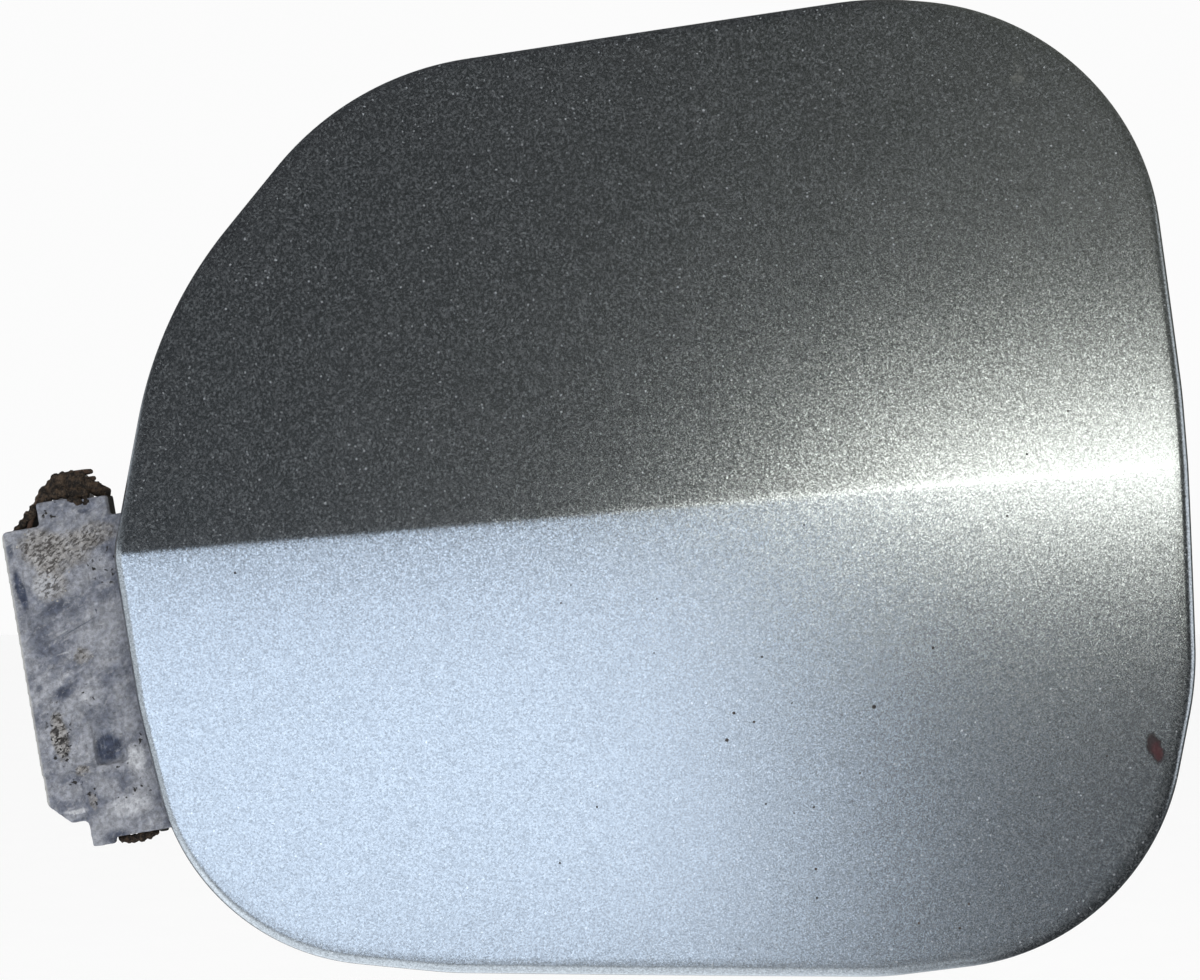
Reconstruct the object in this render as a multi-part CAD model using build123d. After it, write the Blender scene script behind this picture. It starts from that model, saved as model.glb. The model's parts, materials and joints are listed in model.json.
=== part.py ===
"""A car fuel door: a creased steel panel hemmed round a moulded carrier, on a sprung hinge arm.

Millimetres, +Z up, +Y into the car. The origin is midway between the hinge bracket's two screws,
on the face that lies against the car.
"""
import math
import os

from build123d import *

# Outer panel
PANEL_W = 187.4
PANEL_H = 173.0
SKIN_T = 0.8
HEM_DEPTH = 4.4
HEM_WALL = 1.2
HEM_BEVEL = 1.2
LIP_W = 7.0

# Outer surface: two crowned flanks that meet in a crease, leans and rise in degrees
CREASE_Z = -4.7
CREASE_RISE = 4.8
CREASE_R = 6.0
UPPER_LEAN = 9.2
LOWER_LEAN = 1.3
FLANK_R = 1050.0
CROWN_R = 2200.0

# Moulded carrier inside the hem
RIM_FIT = 0.1
RIM_GAP = 0.6
RIB_T = 1.6
RIB_H = 3.5
RIB_PITCH = 46.0
RIB_MARGIN = 3.0
RIB_ROOT = 0.4
PAD_MARGIN = 2.5
PAD_WALL = 2.0

# Hinge: axis leaning to the left, its place beside the crease's left end
HINGE_TILT = 9.6
HINGE_OUT = 3.6
HINGE_BELOW_CREASE = 20.5
HEM_CLEAR = 0.3
PIN_D = 4.0
PIN_FIT = 0.02
RUN_FIT = 0.06
END_PLAY = 0.3

# Hinge arm
ARM_T = 2.0
ARM_TAIL = 13.0
ARM_END = 46.0
ARM_SHOULDER = 16.0
ARM_TOP = 26.5
ARM_BOTTOM = 29.4
ARM_END_TOP = 19.0
ARM_END_BOTTOM = 20.0
ARM_TAIL_BOTTOM = 25.8
ARM_TAIL_CUT = 3.7
ARM_CORNER_R = 1.0
ARM_SHOULDER_R = 8.0
ARM_END_R = 5.0
LUG_W = 12.4
LUG_SET = 0.3
LUG_TOP = 30.0
LUG_RISE = 0.6
LUG_BOTTOM = 30.5
LUG_CUT_X = -2.2
LUG_STEP_X = -0.8
FIN_REACH = 12.0
FIN_FRONT = 2.4
FIN_BACK = 1.0
FIN_DROP = 4.0
ARM_RIB_T = 1.8
ARM_RIB_H = 6.5
ARM_RIB_END_H = 1.5
ARM_RIB_START = 8.0
ARM_RIB_INSET = 1.5
TAIL_STEP_H = 9.0
TAIL_STEP_DEPTH = 0.7
POCKET_LEFT = -3.0
POCKET_W = 5.5
POCKET_TOP = -6.0
POCKET_H = 10.5
POCKET_DEPTH = 1.2
DIMPLE_L = 8.0
DIMPLE_W = 1.8
DIMPLE_DEPTH = 0.5
DIMPLE_IN = 1.9
DIMPLE_Z = 16.0

# Self-tapping screws that hold the arm and the striker on the carrier
SCREW_D = 3.5
SCREW_HEAD_D = 7.0
SCREW_HEAD_H = 2.2
SCREW_L = 5.6
SCREW_FIT = 0.05
TIP_GAP = 0.3
SCREW_BOSS_D = 10.0
ARM_SCREW_X = 27.0
ARM_SCREW_Z = 10.0
ARM_SCREW_END_IN = 7.0

# Hinge pin and its clip
PIN_HEAD_D = 7.0
PIN_HEAD_H = 0.9
PIN_BELOW_CLIP = 1.0
CLIP_D = 7.6
CLIP_T = 0.6
CLIP_TEETH = 4
CLIP_SLOT_W = 0.8
CLIP_SLOT_R = 2.9
CLIP_WELL_D = 9.0
CLIP_WELL_DEPTH = 2.6

# Closing spring, a torsion coil above the arm's upper lug
WIRE_D = 0.9
WIRE_FLAT_COUNT = 6
COIL_R = 3.4
TURN_COUNT = 2
COIL_PITCH = 0.96
COIL_PLAY = 0.25
SPRING_LEG_OUT = 6.4
SPRING_LEG_REACH = 9.6
SPRING_LEG_DOWN = 2.4
SPRING_BEND_R = 1.6
SPRING_EAR_OUT = 4.4

# Hinge bracket
KNUCKLE_L = 18.0
KNUCKLE_CLEAR = 0.4
WEB_STOP_CLEAR = 0.3
WEB_RIGHT = 3.0
PLATE_T = 3.0
PLATE_FRONT = 16.0
PLATE_LEFT = 8.0
PLATE_EDGE = 8.0
PLATE_R = 4.0
HOLE_X = 14.0
HOLE_PITCH = 32.0
HOLE_D = 5.5
GUSSET_T = 2.0
GUSSET_RUN = 9.0
GUSSET_FRONT = 5.0
EAR_W = 7.0
EAR_R = 2.5
EAR_ABOVE = 2.2
EAR_FIT = 0.3

# Rubber bump stops on the carrier's free side
STOP_IN = 27.0
STOP_UP = 46.0
STOP_DOWN = 26.0
STOP_D = 12.0
STOP_H = 5.0
STOP_STEM_D = 5.0
STOP_STEM_L = 3.6
STOP_FIT = 0.05
BOSS_D = 15.0
BOSS_H = 2.5

# Latch striker, a steel strap with a slot for the lock's bolt
STRIKER_IN = 17.0
STRIKER_Z = -30.0
STRIKER_T = 1.6
STRIKER_FOOT = 17.0
STRIKER_W = 26.0
STRIKER_REACH = 24.0
STRIKER_END_R = 4.0
STRIKER_BEND_R = 1.5
SLOT_W = 11.0
SLOT_H = 7.0
SLOT_R = 1.5
SLOT_BACK = 5.0
STRIKER_SCREW_Z = 8.0

# Places that follow from the sizes above
HALF_W = PANEL_W / 2
HALF_H = PANEL_H / 2
CREASE_LEFT_Z = CREASE_Z - HALF_W * math.tan(math.radians(CREASE_RISE))
LUG_R = LUG_W / 2
ARM_FACE = LUG_R
ARM_BACK = ARM_FACE - ARM_T
KNUCKLE_R = ARM_BACK - KNUCKLE_CLEAR
AXIS_DEPTH = PLATE_FRONT + PLATE_T
SHEET_FRONT = SKIN_T + RIM_FIT
SHEET_BACK = HEM_DEPTH - SKIN_T - RIM_FIT
RIB_BACK = SHEET_BACK + RIB_H
LUG_TOP_LEFT = LUG_TOP + LUG_RISE
COIL_START = LUG_TOP_LEFT + COIL_PLAY + WIRE_D / 2
COIL_END = COIL_START + (TURN_COUNT + 0.5) * COIL_PITCH
PIN_HEAD_Z = COIL_END + WIRE_D / 2 + COIL_PLAY
CLIP_TOP = -LUG_BOTTOM + CLIP_WELL_DEPTH - COIL_PLAY
PIN_BOTTOM = CLIP_TOP - CLIP_T - PIN_BELOW_CLIP
EAR_TOP = COIL_END + EAR_ABOVE
WEB_LEFT = ARM_BACK - WEB_STOP_CLEAR
TAIL_STEP_TOP = -ARM_TAIL_BOTTOM + TAIL_STEP_H
AXIS_ON_PANEL = (-HINGE_OUT - HALF_W, CREASE_LEFT_Z - HINGE_BELOW_CREASE)
STRIKER_X = HALF_W - STRIKER_IN
FORM_SPAN = 2 * (PANEL_W + PANEL_H)
FORM_DEPTH = PANEL_W

# Corners of the outline, clockwise from the crease's left end: x, z and the radius that rounds each
OUTLINE = [
    (-HALF_W, CREASE_LEFT_Z, 15.0),
    (-HALF_W + 6.5, HALF_H - 57.0, 74.0),
    (-HALF_W + 39.5, HALF_H - 14.0, 52.0),
    (HALF_W - 54.0, HALF_H + 0.5, 56.0),
    (HALF_W - 8.0, HALF_H - 3.5, 44.0),
    (HALF_W - 2.0, HALF_H - 71.0, 120.0),
    (HALF_W + 0.3, -HALF_H + 52.0, 55.0),
    (HALF_W - 8.0, -HALF_H + 5.5, 42.0),
    (HALF_W - 53.5, -HALF_H, 56.0),
    (-HALF_W + 58.0, -HALF_H + 0.8, 66.0),
    (-HALF_W + 14.5, -HALF_H + 5.0, 39.0),
    (-HALF_W + 4.2, -HALF_H + 47.0, 74.0),
]


def surface_depth(x, z):
    """How far the panel's outer surface lies behind the middle of its crease."""
    rise = math.radians(CREASE_RISE)
    along = x * math.cos(rise) + (z - CREASE_Z) * math.sin(rise)
    across = (z - CREASE_Z) * math.cos(rise) - x * math.sin(rise)
    lean = math.radians(UPPER_LEAN if across > 0 else LOWER_LEAN)
    chord = abs(across) + FLANK_R * math.sin(lean)
    drop = FLANK_R * math.cos(lean) - math.sqrt(FLANK_R**2 - chord**2)
    return CROWN_R - math.sqrt((CROWN_R - drop) ** 2 - along**2)


# The panel stands far enough in front of the axis for its hem to clear the arm's face
ARM_LOW_Z = CREASE_LEFT_Z - HINGE_BELOW_CREASE - ARM_BOTTOM
STANDOFF = ARM_FACE + HEM_CLEAR + HEM_DEPTH + surface_depth(-HALF_W, ARM_LOW_Z)

HINGE = Rot(0, -HINGE_TILT, 0) * Pos(-HOLE_X, -AXIS_DEPTH, 0)
PANEL = Pos(HINGE.position) * Pos(
    HINGE_OUT + HALF_W, -STANDOFF, HINGE_BELOW_CREASE - CREASE_LEFT_Z
)
PAD_Y = STANDOFF - ARM_FACE

# The striker's pad is flat, just proud of the carrier at its deepest corner
STRIKER_CORNERS = [
    surface_depth(STRIKER_X - reach, STRIKER_Z + side * STRIKER_W / 2)
    for reach in (0, STRIKER_FOOT)
    for side in (1, -1)
]
STRIKER_Y = max(STRIKER_CORNERS) + SHEET_BACK + BOSS_H


def prism(sketch, front, back):
    """A sketch drawn in x and z, as a solid between two depths."""
    return Pos(0, back, 0) * extrude(Plane.XZ * sketch, amount=back - front)


def block(x0, x1, y0, y1, z0, z1):
    """A box between two corners."""
    size = (x1 - x0, y1 - y0, z1 - z0)
    return Pos((x0 + x1) / 2, (y0 + y1) / 2, (z0 + z1) / 2) * Box(*size)


def rod(radius, z0, z1):
    """A round bar along the hinge's axis."""
    return Pos(0, 0, (z0 + z1) / 2) * Cylinder(radius, z1 - z0)


def outline(inset=0.0):
    """The panel's outline, or one that runs inside it."""
    points = [(x, z) for x, z, r in OUTLINE]
    edge = FilletPolyline(*points, radius=[r for x, z, r in OUTLINE], close=True)
    face = make_face(edge)
    return offset(face, amount=-inset) if inset else face


def form(depth):
    """All that lies behind the outer surface when that is set back by a depth."""
    upper = math.radians(UPPER_LEAN)
    lower = math.radians(LOWER_LEAN)
    radius = FLANK_R - depth
    section = Pos(FLANK_R * math.cos(upper), -FLANK_R * math.sin(upper)) * Circle(radius)
    section &= Pos(FLANK_R * math.cos(lower), FLANK_R * math.sin(lower)) * Circle(radius)
    section &= Pos(FORM_DEPTH / 2, 0) * Rectangle(FORM_DEPTH, FORM_SPAN)
    tip = section.vertices().sort_by(Axis.X)[0]
    if CREASE_R > depth:
        section = fillet(tip, CREASE_R - depth)
    axis = Axis((0, CROWN_R, 0), (0, 0, 1))
    arc = math.degrees(FORM_SPAN / CROWN_R)
    start = (Plane.YZ * section).rotate(axis, -arc / 2)
    return Pos(0, 0, CREASE_Z) * Rot(0, -CREASE_RISE, 0) * revolve(start, axis, arc)


def shell(sketch, front, back):
    """The layer between two depths behind the outer surface, cut to a sketch."""
    reach = surface_depth(-HALF_W, HALF_H) + surface_depth(HALF_W, HALF_H) + back
    return (prism(sketch, -reach, reach) & form(front)) - form(back)


def rim_edges(solid, sketch):
    """Edges of a layer that run round its outline."""
    wire = (Plane.XZ * sketch).wire()
    found = []
    for edge in solid.edges():
        point = edge @ 0.5
        if abs((edge % 0.5).Y) < 0.9 and wire.distance_to(Vertex(point.X, 0, point.Z)) < 0.01:
            found.append(edge)
    return found


def outer_panel():
    """Pressed skin whose edge is rolled over and folded flat behind the carrier's rim."""
    body = shell(outline(), 0, HEM_DEPTH)
    body = chamfer(rim_edges(body, outline()), HEM_BEVEL)
    slot = shell(outline(HEM_WALL), SKIN_T, HEM_DEPTH - SKIN_T)
    window = shell(outline(LIP_W), HEM_DEPTH / 2, 2 * HEM_DEPTH)
    return body - slot - window


def arm_outline():
    """The arm's plate seen from the front, in the hinge's frame."""
    corners = [
        (-ARM_TAIL, ARM_TOP, ARM_CORNER_R),
        (ARM_SHOULDER, ARM_TOP, ARM_SHOULDER_R),
        (ARM_END, ARM_END_TOP, ARM_END_R),
        (ARM_END, -ARM_END_BOTTOM, ARM_END_R),
        (ARM_SHOULDER, -ARM_BOTTOM, ARM_SHOULDER_R),
        (-LUG_R, -ARM_BOTTOM, ARM_CORNER_R),
        (-LUG_R, -ARM_TAIL_BOTTOM, ARM_CORNER_R),
        (-ARM_TAIL + ARM_TAIL_CUT, -ARM_TAIL_BOTTOM, ARM_CORNER_R),
        (-ARM_TAIL, -ARM_TAIL_BOTTOM + ARM_TAIL_CUT, ARM_CORNER_R),
    ]
    points = [(x, z) for x, z, r in corners]
    return make_face(FilletPolyline(*points, radius=[r for x, z, r in corners], close=True))


def on_panel(sketch):
    """A sketch of the hinge's frame, laid in the panel's frame."""
    return Pos(*AXIS_ON_PANEL) * Rot(0, 0, HINGE_TILT) * sketch


def arm_screw_places():
    """Where the arm's screws stand, in the hinge's frame."""
    pair = [(ARM_SCREW_X, side * ARM_SCREW_Z) for side in (1, -1)]
    return pair + [(ARM_END - ARM_SCREW_END_IN, 0.0)]


def discs(places, diameter):
    """Circles at a list of places."""
    return [Pos(x, z) * Circle(diameter / 2) for x, z in places]


def lattice(area):
    """Crossing bars at an even pitch over an area."""
    bars = []
    for half, length, turn in ((HALF_W, PANEL_H, 0), (HALF_H, PANEL_W, 90)):
        reach = int(half / RIB_PITCH)
        for step in range(-reach, reach + 1):
            bar = Pos(step * RIB_PITCH, 0) * Rectangle(RIB_T, 2 * length)
            bars.append(Rot(0, 0, turn) * bar)
    return (Sketch() + bars) & area


def peg(x, z, radius, front, back):
    """A round bar along the depth, at a place on the panel."""
    return Pos(x, (front + back) / 2, z) * Rot(90, 0, 0) * Cylinder(radius, back - front)


def stop_seats():
    """Places and seat depths of the two bump stops."""
    x = HALF_W - STOP_IN
    heights = (HALF_H - STOP_UP, -HALF_H + STOP_DOWN)
    return [(x, z, surface_depth(x, z) + SHEET_BACK + BOSS_H) for z in heights]


def striker_foot(margin=0.0):
    """The striker's foot on its pad, seen from the front."""
    middle = STRIKER_X + STRIKER_T - (STRIKER_FOOT + STRIKER_T) / 2
    size = (STRIKER_FOOT + STRIKER_T + 2 * margin, STRIKER_W + 2 * margin)
    return Pos(middle, STRIKER_Z) * Rectangle(*size)


def striker_screw_places():
    """Where the striker's two screws stand on the panel."""
    x = STRIKER_X - STRIKER_FOOT / 2
    return [(x, STRIKER_Z + side * STRIKER_SCREW_Z) for side in (1, -1)]


def inner_carrier():
    """Moulded carrier: a rim that the hem holds, crossed ribs, and seats for what it bears."""
    field = outline(LIP_W + RIB_MARGIN)
    wall = field - outline(LIP_W + RIB_MARGIN + RIB_T)
    pad = on_panel(arm_outline()) & field
    stops = [(x, z) for x, z, seat in stop_seats()]
    clear = on_panel(offset(arm_outline(), amount=PAD_MARGIN)) + striker_foot(PAD_MARGIN)
    clear += discs(stops, BOSS_D + 2 * PAD_MARGIN)
    sheet = shell(outline(HEM_WALL + RIM_GAP), SHEET_FRONT, SHEET_BACK)
    ribs = shell((wall + lattice(field)) - clear, SHEET_BACK - RIB_ROOT, RIB_BACK)

    bosses = [on_panel(disc) for disc in discs(arm_screw_places(), SCREW_BOSS_D)]
    frame = (pad - offset(pad, amount=-PAD_WALL)) + bosses
    spine = on_panel(Pos(ARM_END / 2, 0) * Rectangle(ARM_END, PAD_WALL))
    frame = (frame + spine) & pad
    body = sheet + ribs
    body += prism(frame, 0, PAD_Y) & form(SHEET_BACK - RIB_ROOT)
    body += prism(striker_foot(PAD_MARGIN), 0, STRIKER_Y) & form(SHEET_BACK - RIB_ROOT)
    for x, z, seat in stop_seats():
        boss = peg(x, z, BOSS_D / 2, 0, seat) & form(SHEET_BACK - RIB_ROOT)
        well = peg(x, z, STOP_STEM_D / 2 + STOP_FIT, seat - STOP_STEM_L - TIP_GAP, seat)
        body = body + boss - well

    depth = SCREW_L + TIP_GAP
    for disc in discs(arm_screw_places(), SCREW_D + 2 * SCREW_FIT):
        body -= prism(on_panel(disc), PAD_Y + ARM_T - depth, PAD_Y)
    for disc in discs(striker_screw_places(), SCREW_D + 2 * SCREW_FIT):
        body -= prism(disc, STRIKER_Y + STRIKER_T - depth, STRIKER_Y)
    return body


def knuckle(z0, z1):
    """A hinge lug: flat in front, round behind."""
    front = Pos(0, -(LUG_R - LUG_SET) / 2) * Rectangle(LUG_W, LUG_R - LUG_SET)
    behind = Circle(LUG_R) & Pos(0, LUG_R / 2) * Rectangle(LUG_W, LUG_R)
    return Pos(0, 0, z0) * extrude(front + behind, amount=z1 - z0)


def arm_rib(start, end, z):
    """A rib behind the arm's plate, falling towards its end."""
    root = -ARM_BACK - RIB_ROOT
    points = [
        (start, root),
        (start, -ARM_BACK + ARM_RIB_H),
        (max(start, ARM_RIB_START), -ARM_BACK + ARM_RIB_H),
        (end, -ARM_BACK + ARM_RIB_END_H),
        (end, root),
    ]
    profile = make_face(Polyline(*dict.fromkeys(points), close=True))
    return Pos(0, 0, z - ARM_RIB_T / 2) * extrude(profile, amount=ARM_RIB_T)


def hinge_arm():
    """Moulded arm: a ribbed plate under the carrier, and two lugs on the hinge's axis, one finned."""
    inner = KNUCKLE_L / 2 + END_PLAY
    body = prism(arm_outline(), -ARM_FACE, -ARM_BACK)
    body += knuckle(inner, LUG_TOP_LEFT) - block(LUG_STEP_X, LUG_W, -LUG_W, LUG_W, LUG_TOP, LUG_TOP_LEFT)
    body += knuckle(-LUG_BOTTOM, -inner)
    fin = Polyline(
        (-LUG_R + RIB_ROOT, LUG_TOP_LEFT),
        (-FIN_REACH, ARM_TOP),
        (-FIN_REACH, ARM_TOP - FIN_DROP),
        (-LUG_R + RIB_ROOT, ARM_TOP - 2 * FIN_DROP),
        close=True,
    )
    body += prism(make_face(fin), -FIN_FRONT, FIN_BACK)
    rib_in = ARM_RIB_INSET + ARM_RIB_T / 2
    body += arm_rib(0, ARM_END - ARM_RIB_INSET, ARM_END_TOP - rib_in)
    body += arm_rib(0, ARM_END - ARM_RIB_INSET, -ARM_END_BOTTOM + rib_in)
    last = ARM_END - ARM_SCREW_END_IN - SCREW_HEAD_D / 2 - ARM_RIB_INSET
    body += arm_rib(ARM_RIB_START, last, 0)

    body -= rod(PIN_D / 2 + PIN_FIT, -LUG_BOTTOM, LUG_TOP_LEFT)
    well_top = -LUG_BOTTOM + CLIP_WELL_DEPTH
    body -= rod(CLIP_WELL_D / 2, -LUG_BOTTOM, well_top)
    body -= block(LUG_CUT_X, LUG_W, -LUG_W, 0, -LUG_BOTTOM, -ARM_BOTTOM)
    body -= block(
        -ARM_TAIL, -LUG_R, -ARM_FACE, -ARM_FACE + TAIL_STEP_DEPTH, -LUG_BOTTOM, TAIL_STEP_TOP
    )
    slope = Polyline(
        (-ARM_FACE, POCKET_TOP),
        (-ARM_FACE, POCKET_TOP - POCKET_H),
        (-ARM_FACE + POCKET_DEPTH, POCKET_TOP - POCKET_H),
        close=True,
    )
    body -= Pos(POCKET_LEFT, 0, 0) * extrude(Plane.YZ * make_face(slope), amount=POCKET_W)
    dimple = Pos(-ARM_TAIL + DIMPLE_IN, DIMPLE_Z) * SlotOverall(DIMPLE_L, DIMPLE_W, rotation=90)
    body -= prism(dimple, -ARM_FACE, -ARM_FACE + DIMPLE_DEPTH)
    for disc in discs(arm_screw_places(), SCREW_D + 2 * SCREW_FIT):
        body -= prism(disc, -ARM_FACE, -ARM_BACK)
    return body


def screw(x, seat, z):
    """A pan-headed self-tapping screw, driven forwards from behind its seat."""
    shank = peg(x, z, SCREW_D / 2, seat - SCREW_L, seat)
    return shank + peg(x, z, SCREW_HEAD_D / 2, seat, seat + SCREW_HEAD_H)


def hinge_pin():
    """Headed pin through the bracket's knuckle and both lugs."""
    return rod(PIN_D / 2, PIN_BOTTOM, PIN_HEAD_Z) + rod(PIN_HEAD_D / 2, PIN_HEAD_Z, PIN_HEAD_Z + PIN_HEAD_H)


def pin_clip():
    """Push-on clip that keeps the pin in, with teeth cut by radial slots."""
    body = rod(CLIP_D / 2, CLIP_TOP - CLIP_T, CLIP_TOP)
    body -= rod(PIN_D / 2 + PIN_FIT, CLIP_TOP - CLIP_T, CLIP_TOP)
    for turn in range(CLIP_TEETH):
        slot = block(0, CLIP_SLOT_R, -CLIP_SLOT_W / 2, CLIP_SLOT_W / 2, CLIP_TOP - CLIP_T, CLIP_TOP)
        body -= Rot(0, 0, turn * 360 / CLIP_TEETH) * slot
    return body


def half_turn(z, side):
    """Half a turn of the coil, from the front to the back round one side, or back again."""
    rise = COIL_PITCH / 2
    middle = (side * math.hypot(COIL_R, rise / 2), 0, z + rise / 2)
    return ThreePointArc((0, -side * COIL_R, z), middle, (0, side * COIL_R, z + rise))


def closing_spring():
    """Torsion spring round the pin: one leg behind the arm's tail, one through the bracket's ear."""
    arm_leg = FilletPolyline(
        (-SPRING_LEG_REACH, -COIL_R, ARM_TOP - SPRING_LEG_DOWN),
        (-SPRING_LEG_OUT, -COIL_R, COIL_START),
        (0, -COIL_R, COIL_START),
        radius=SPRING_BEND_R,
    )
    bends = arm_leg.edges()
    for turn in range(TURN_COUNT):
        z = COIL_START + turn * COIL_PITCH
        bends += half_turn(z, 1).edges() + half_turn(z + COIL_PITCH / 2, -1).edges()
    ear_leg = FilletPolyline(
        (0, COIL_R, COIL_END),
        (-SPRING_EAR_OUT, COIL_R, COIL_END),
        (-SPRING_EAR_OUT, AXIS_DEPTH, COIL_END),
        radius=SPRING_BEND_R,
    )
    bends += half_turn(COIL_END - COIL_PITCH / 2, 1).edges() + ear_leg.edges()
    path = Wire(bends)
    start = Plane(origin=path @ 0, z_dir=path % 0)
    return sweep(start * RegularPolygon(WIRE_D / 2, WIRE_FLAT_COUNT), path=path)


def hinge_bracket():
    """Moulded bracket: base plate, web and knuckle, with an ear that holds the spring's leg."""
    right = HOLE_X + PLATE_EDGE
    top = HOLE_PITCH / 2 + PLATE_EDGE
    width = PLATE_LEFT + right
    plate = Pos((right - PLATE_LEFT) / 2, 0) * RectangleRounded(width, 2 * top, PLATE_R)
    ear_h = EAR_TOP - top + PLATE_R
    ear = Pos(-SPRING_EAR_OUT, EAR_TOP - ear_h / 2) * Rectangle(EAR_W, ear_h)
    ear = fillet(ear.vertices().group_by(Axis.Y)[-1], EAR_R)
    body = prism(plate + ear, PLATE_FRONT, AXIS_DEPTH)

    half = KNUCKLE_L / 2
    body += rod(KNUCKLE_R, -half, half)
    body += block(-WEB_LEFT, WEB_RIGHT, 0, PLATE_FRONT, -half, half)
    gusset = make_face(
        Polyline(
            (0, GUSSET_FRONT),
            (WEB_RIGHT, GUSSET_FRONT),
            (WEB_RIGHT + GUSSET_RUN, PLATE_FRONT),
            (0, PLATE_FRONT),
            close=True,
        )
    )
    for z in (-half, half - GUSSET_T):
        body += Pos(0, 0, z) * extrude(gusset, amount=GUSSET_T)
    for side in (1, -1):
        body -= peg(HOLE_X, side * HOLE_PITCH / 2, HOLE_D / 2, PLATE_FRONT, AXIS_DEPTH)
    body -= rod(PIN_D / 2 + RUN_FIT, -half, half)
    return body - peg(-SPRING_EAR_OUT, COIL_END, WIRE_D / 2 + EAR_FIT, PLATE_FRONT, AXIS_DEPTH)


def bump_stop(x, z, seat):
    """Rubber button with a stem pressed into the carrier's boss."""
    head = peg(x, z, STOP_D / 2, seat, seat + STOP_H)
    return head + peg(x, z, STOP_STEM_D / 2, seat - STOP_STEM_L, seat)


def latch_striker():
    """Folded steel strap: a foot on the carrier and a slotted tongue for the lock's bolt."""
    fold = Polyline(
        (STRIKER_X - STRIKER_FOOT, STRIKER_Y),
        (STRIKER_X + STRIKER_T, STRIKER_Y),
        (STRIKER_X + STRIKER_T, STRIKER_Y + STRIKER_REACH),
        (STRIKER_X, STRIKER_Y + STRIKER_REACH),
        (STRIKER_X, STRIKER_Y + STRIKER_T),
        (STRIKER_X - STRIKER_FOOT, STRIKER_Y + STRIKER_T),
        close=True,
    )
    body = Pos(0, 0, STRIKER_Z - STRIKER_W / 2) * extrude(make_face(fold), amount=STRIKER_W)
    along_z = body.edges().filter_by(Axis.Z).sort_by_distance((STRIKER_X, STRIKER_Y, STRIKER_Z))
    body = fillet(along_z[:1], STRIKER_BEND_R)
    ends = body.edges().filter_by(Axis.X).group_by(Axis.Y)[-1]
    body = fillet(ends, STRIKER_END_R)
    middle = STRIKER_Y + STRIKER_REACH - SLOT_BACK - SLOT_H / 2
    hole = Plane.YZ * Pos(middle, STRIKER_Z) * RectangleRounded(SLOT_H, SLOT_W, SLOT_R)
    body -= Pos(STRIKER_X, 0, 0) * extrude(hole, amount=STRIKER_T)
    for disc in discs(striker_screw_places(), SCREW_D + 2 * SCREW_FIT):
        body -= prism(disc, STRIKER_Y, STRIKER_Y + STRIKER_T)
    return body


def pieces():
    """Every piece by name, in the car's frame."""
    screws = [HINGE * screw(x, -ARM_BACK, z) for x, z in arm_screw_places()]
    screws += [PANEL * screw(x, STRIKER_Y + STRIKER_T, z) for x, z in striker_screw_places()]
    upper_stop, lower_stop = [bump_stop(*seat) for seat in stop_seats()]
    on_hinge = {
        "hinge_bracket": hinge_bracket(),
        "hinge_arm": hinge_arm(),
        "hinge_pin": hinge_pin(),
        "pin_clip": pin_clip(),
        "closing_spring": closing_spring(),
    }
    on_door = {
        "outer_panel": outer_panel(),
        "inner_carrier": inner_carrier(),
        "upper_bump_stop": upper_stop,
        "lower_bump_stop": lower_stop,
        "latch_striker": latch_striker(),
    }
    placed = {"screws": Compound(children=screws)}
    placed.update({name: HINGE * shape for name, shape in on_hinge.items()})
    placed.update({name: PANEL * shape for name, shape in on_door.items()})
    return placed


os.makedirs("parts", exist_ok=True)
for name, shape in pieces().items():
    export_step(shape, f"parts/{name}.step")
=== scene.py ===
"""Finish, dirt and stage for a used car fuel door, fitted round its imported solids."""
import json
import math

import bmesh
import bpy
import numpy as np
from bpy.props import FloatProperty, FloatVectorProperty, PointerProperty
from mathutils import Matrix, Vector, noise


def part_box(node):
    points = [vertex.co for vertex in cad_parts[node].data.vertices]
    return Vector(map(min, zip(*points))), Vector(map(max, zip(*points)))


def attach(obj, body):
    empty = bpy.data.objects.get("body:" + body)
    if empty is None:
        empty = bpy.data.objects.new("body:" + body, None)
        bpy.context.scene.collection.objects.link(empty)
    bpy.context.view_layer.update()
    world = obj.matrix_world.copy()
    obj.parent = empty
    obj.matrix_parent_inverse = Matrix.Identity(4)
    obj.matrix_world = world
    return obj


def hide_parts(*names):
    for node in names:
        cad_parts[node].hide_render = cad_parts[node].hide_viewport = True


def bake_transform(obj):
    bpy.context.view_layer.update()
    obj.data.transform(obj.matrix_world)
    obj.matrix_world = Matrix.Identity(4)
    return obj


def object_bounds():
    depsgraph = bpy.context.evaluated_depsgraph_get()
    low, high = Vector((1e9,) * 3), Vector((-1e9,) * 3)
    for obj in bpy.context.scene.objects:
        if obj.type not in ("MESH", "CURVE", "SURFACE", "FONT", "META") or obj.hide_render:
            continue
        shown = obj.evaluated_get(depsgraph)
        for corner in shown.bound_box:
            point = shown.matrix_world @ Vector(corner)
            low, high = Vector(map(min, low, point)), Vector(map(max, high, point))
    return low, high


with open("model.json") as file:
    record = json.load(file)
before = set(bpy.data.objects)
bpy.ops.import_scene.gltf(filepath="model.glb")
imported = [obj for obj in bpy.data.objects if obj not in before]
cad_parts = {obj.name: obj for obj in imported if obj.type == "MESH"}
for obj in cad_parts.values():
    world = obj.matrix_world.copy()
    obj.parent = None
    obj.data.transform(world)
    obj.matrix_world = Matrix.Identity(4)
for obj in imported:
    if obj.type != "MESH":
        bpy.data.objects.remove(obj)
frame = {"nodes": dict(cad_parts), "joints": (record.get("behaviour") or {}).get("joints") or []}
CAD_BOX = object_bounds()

bl_info = {
    "name": "Car fuel door finish",
    "version": (1, 0, 0),
    "blender": (4, 5, 0),
    "location": "3D View > Sidebar > Fuel door",
    "description": "Paint, dried mud, rust and a stage for a car fuel door",
    "category": "Object",
}

MM = 0.001

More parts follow.
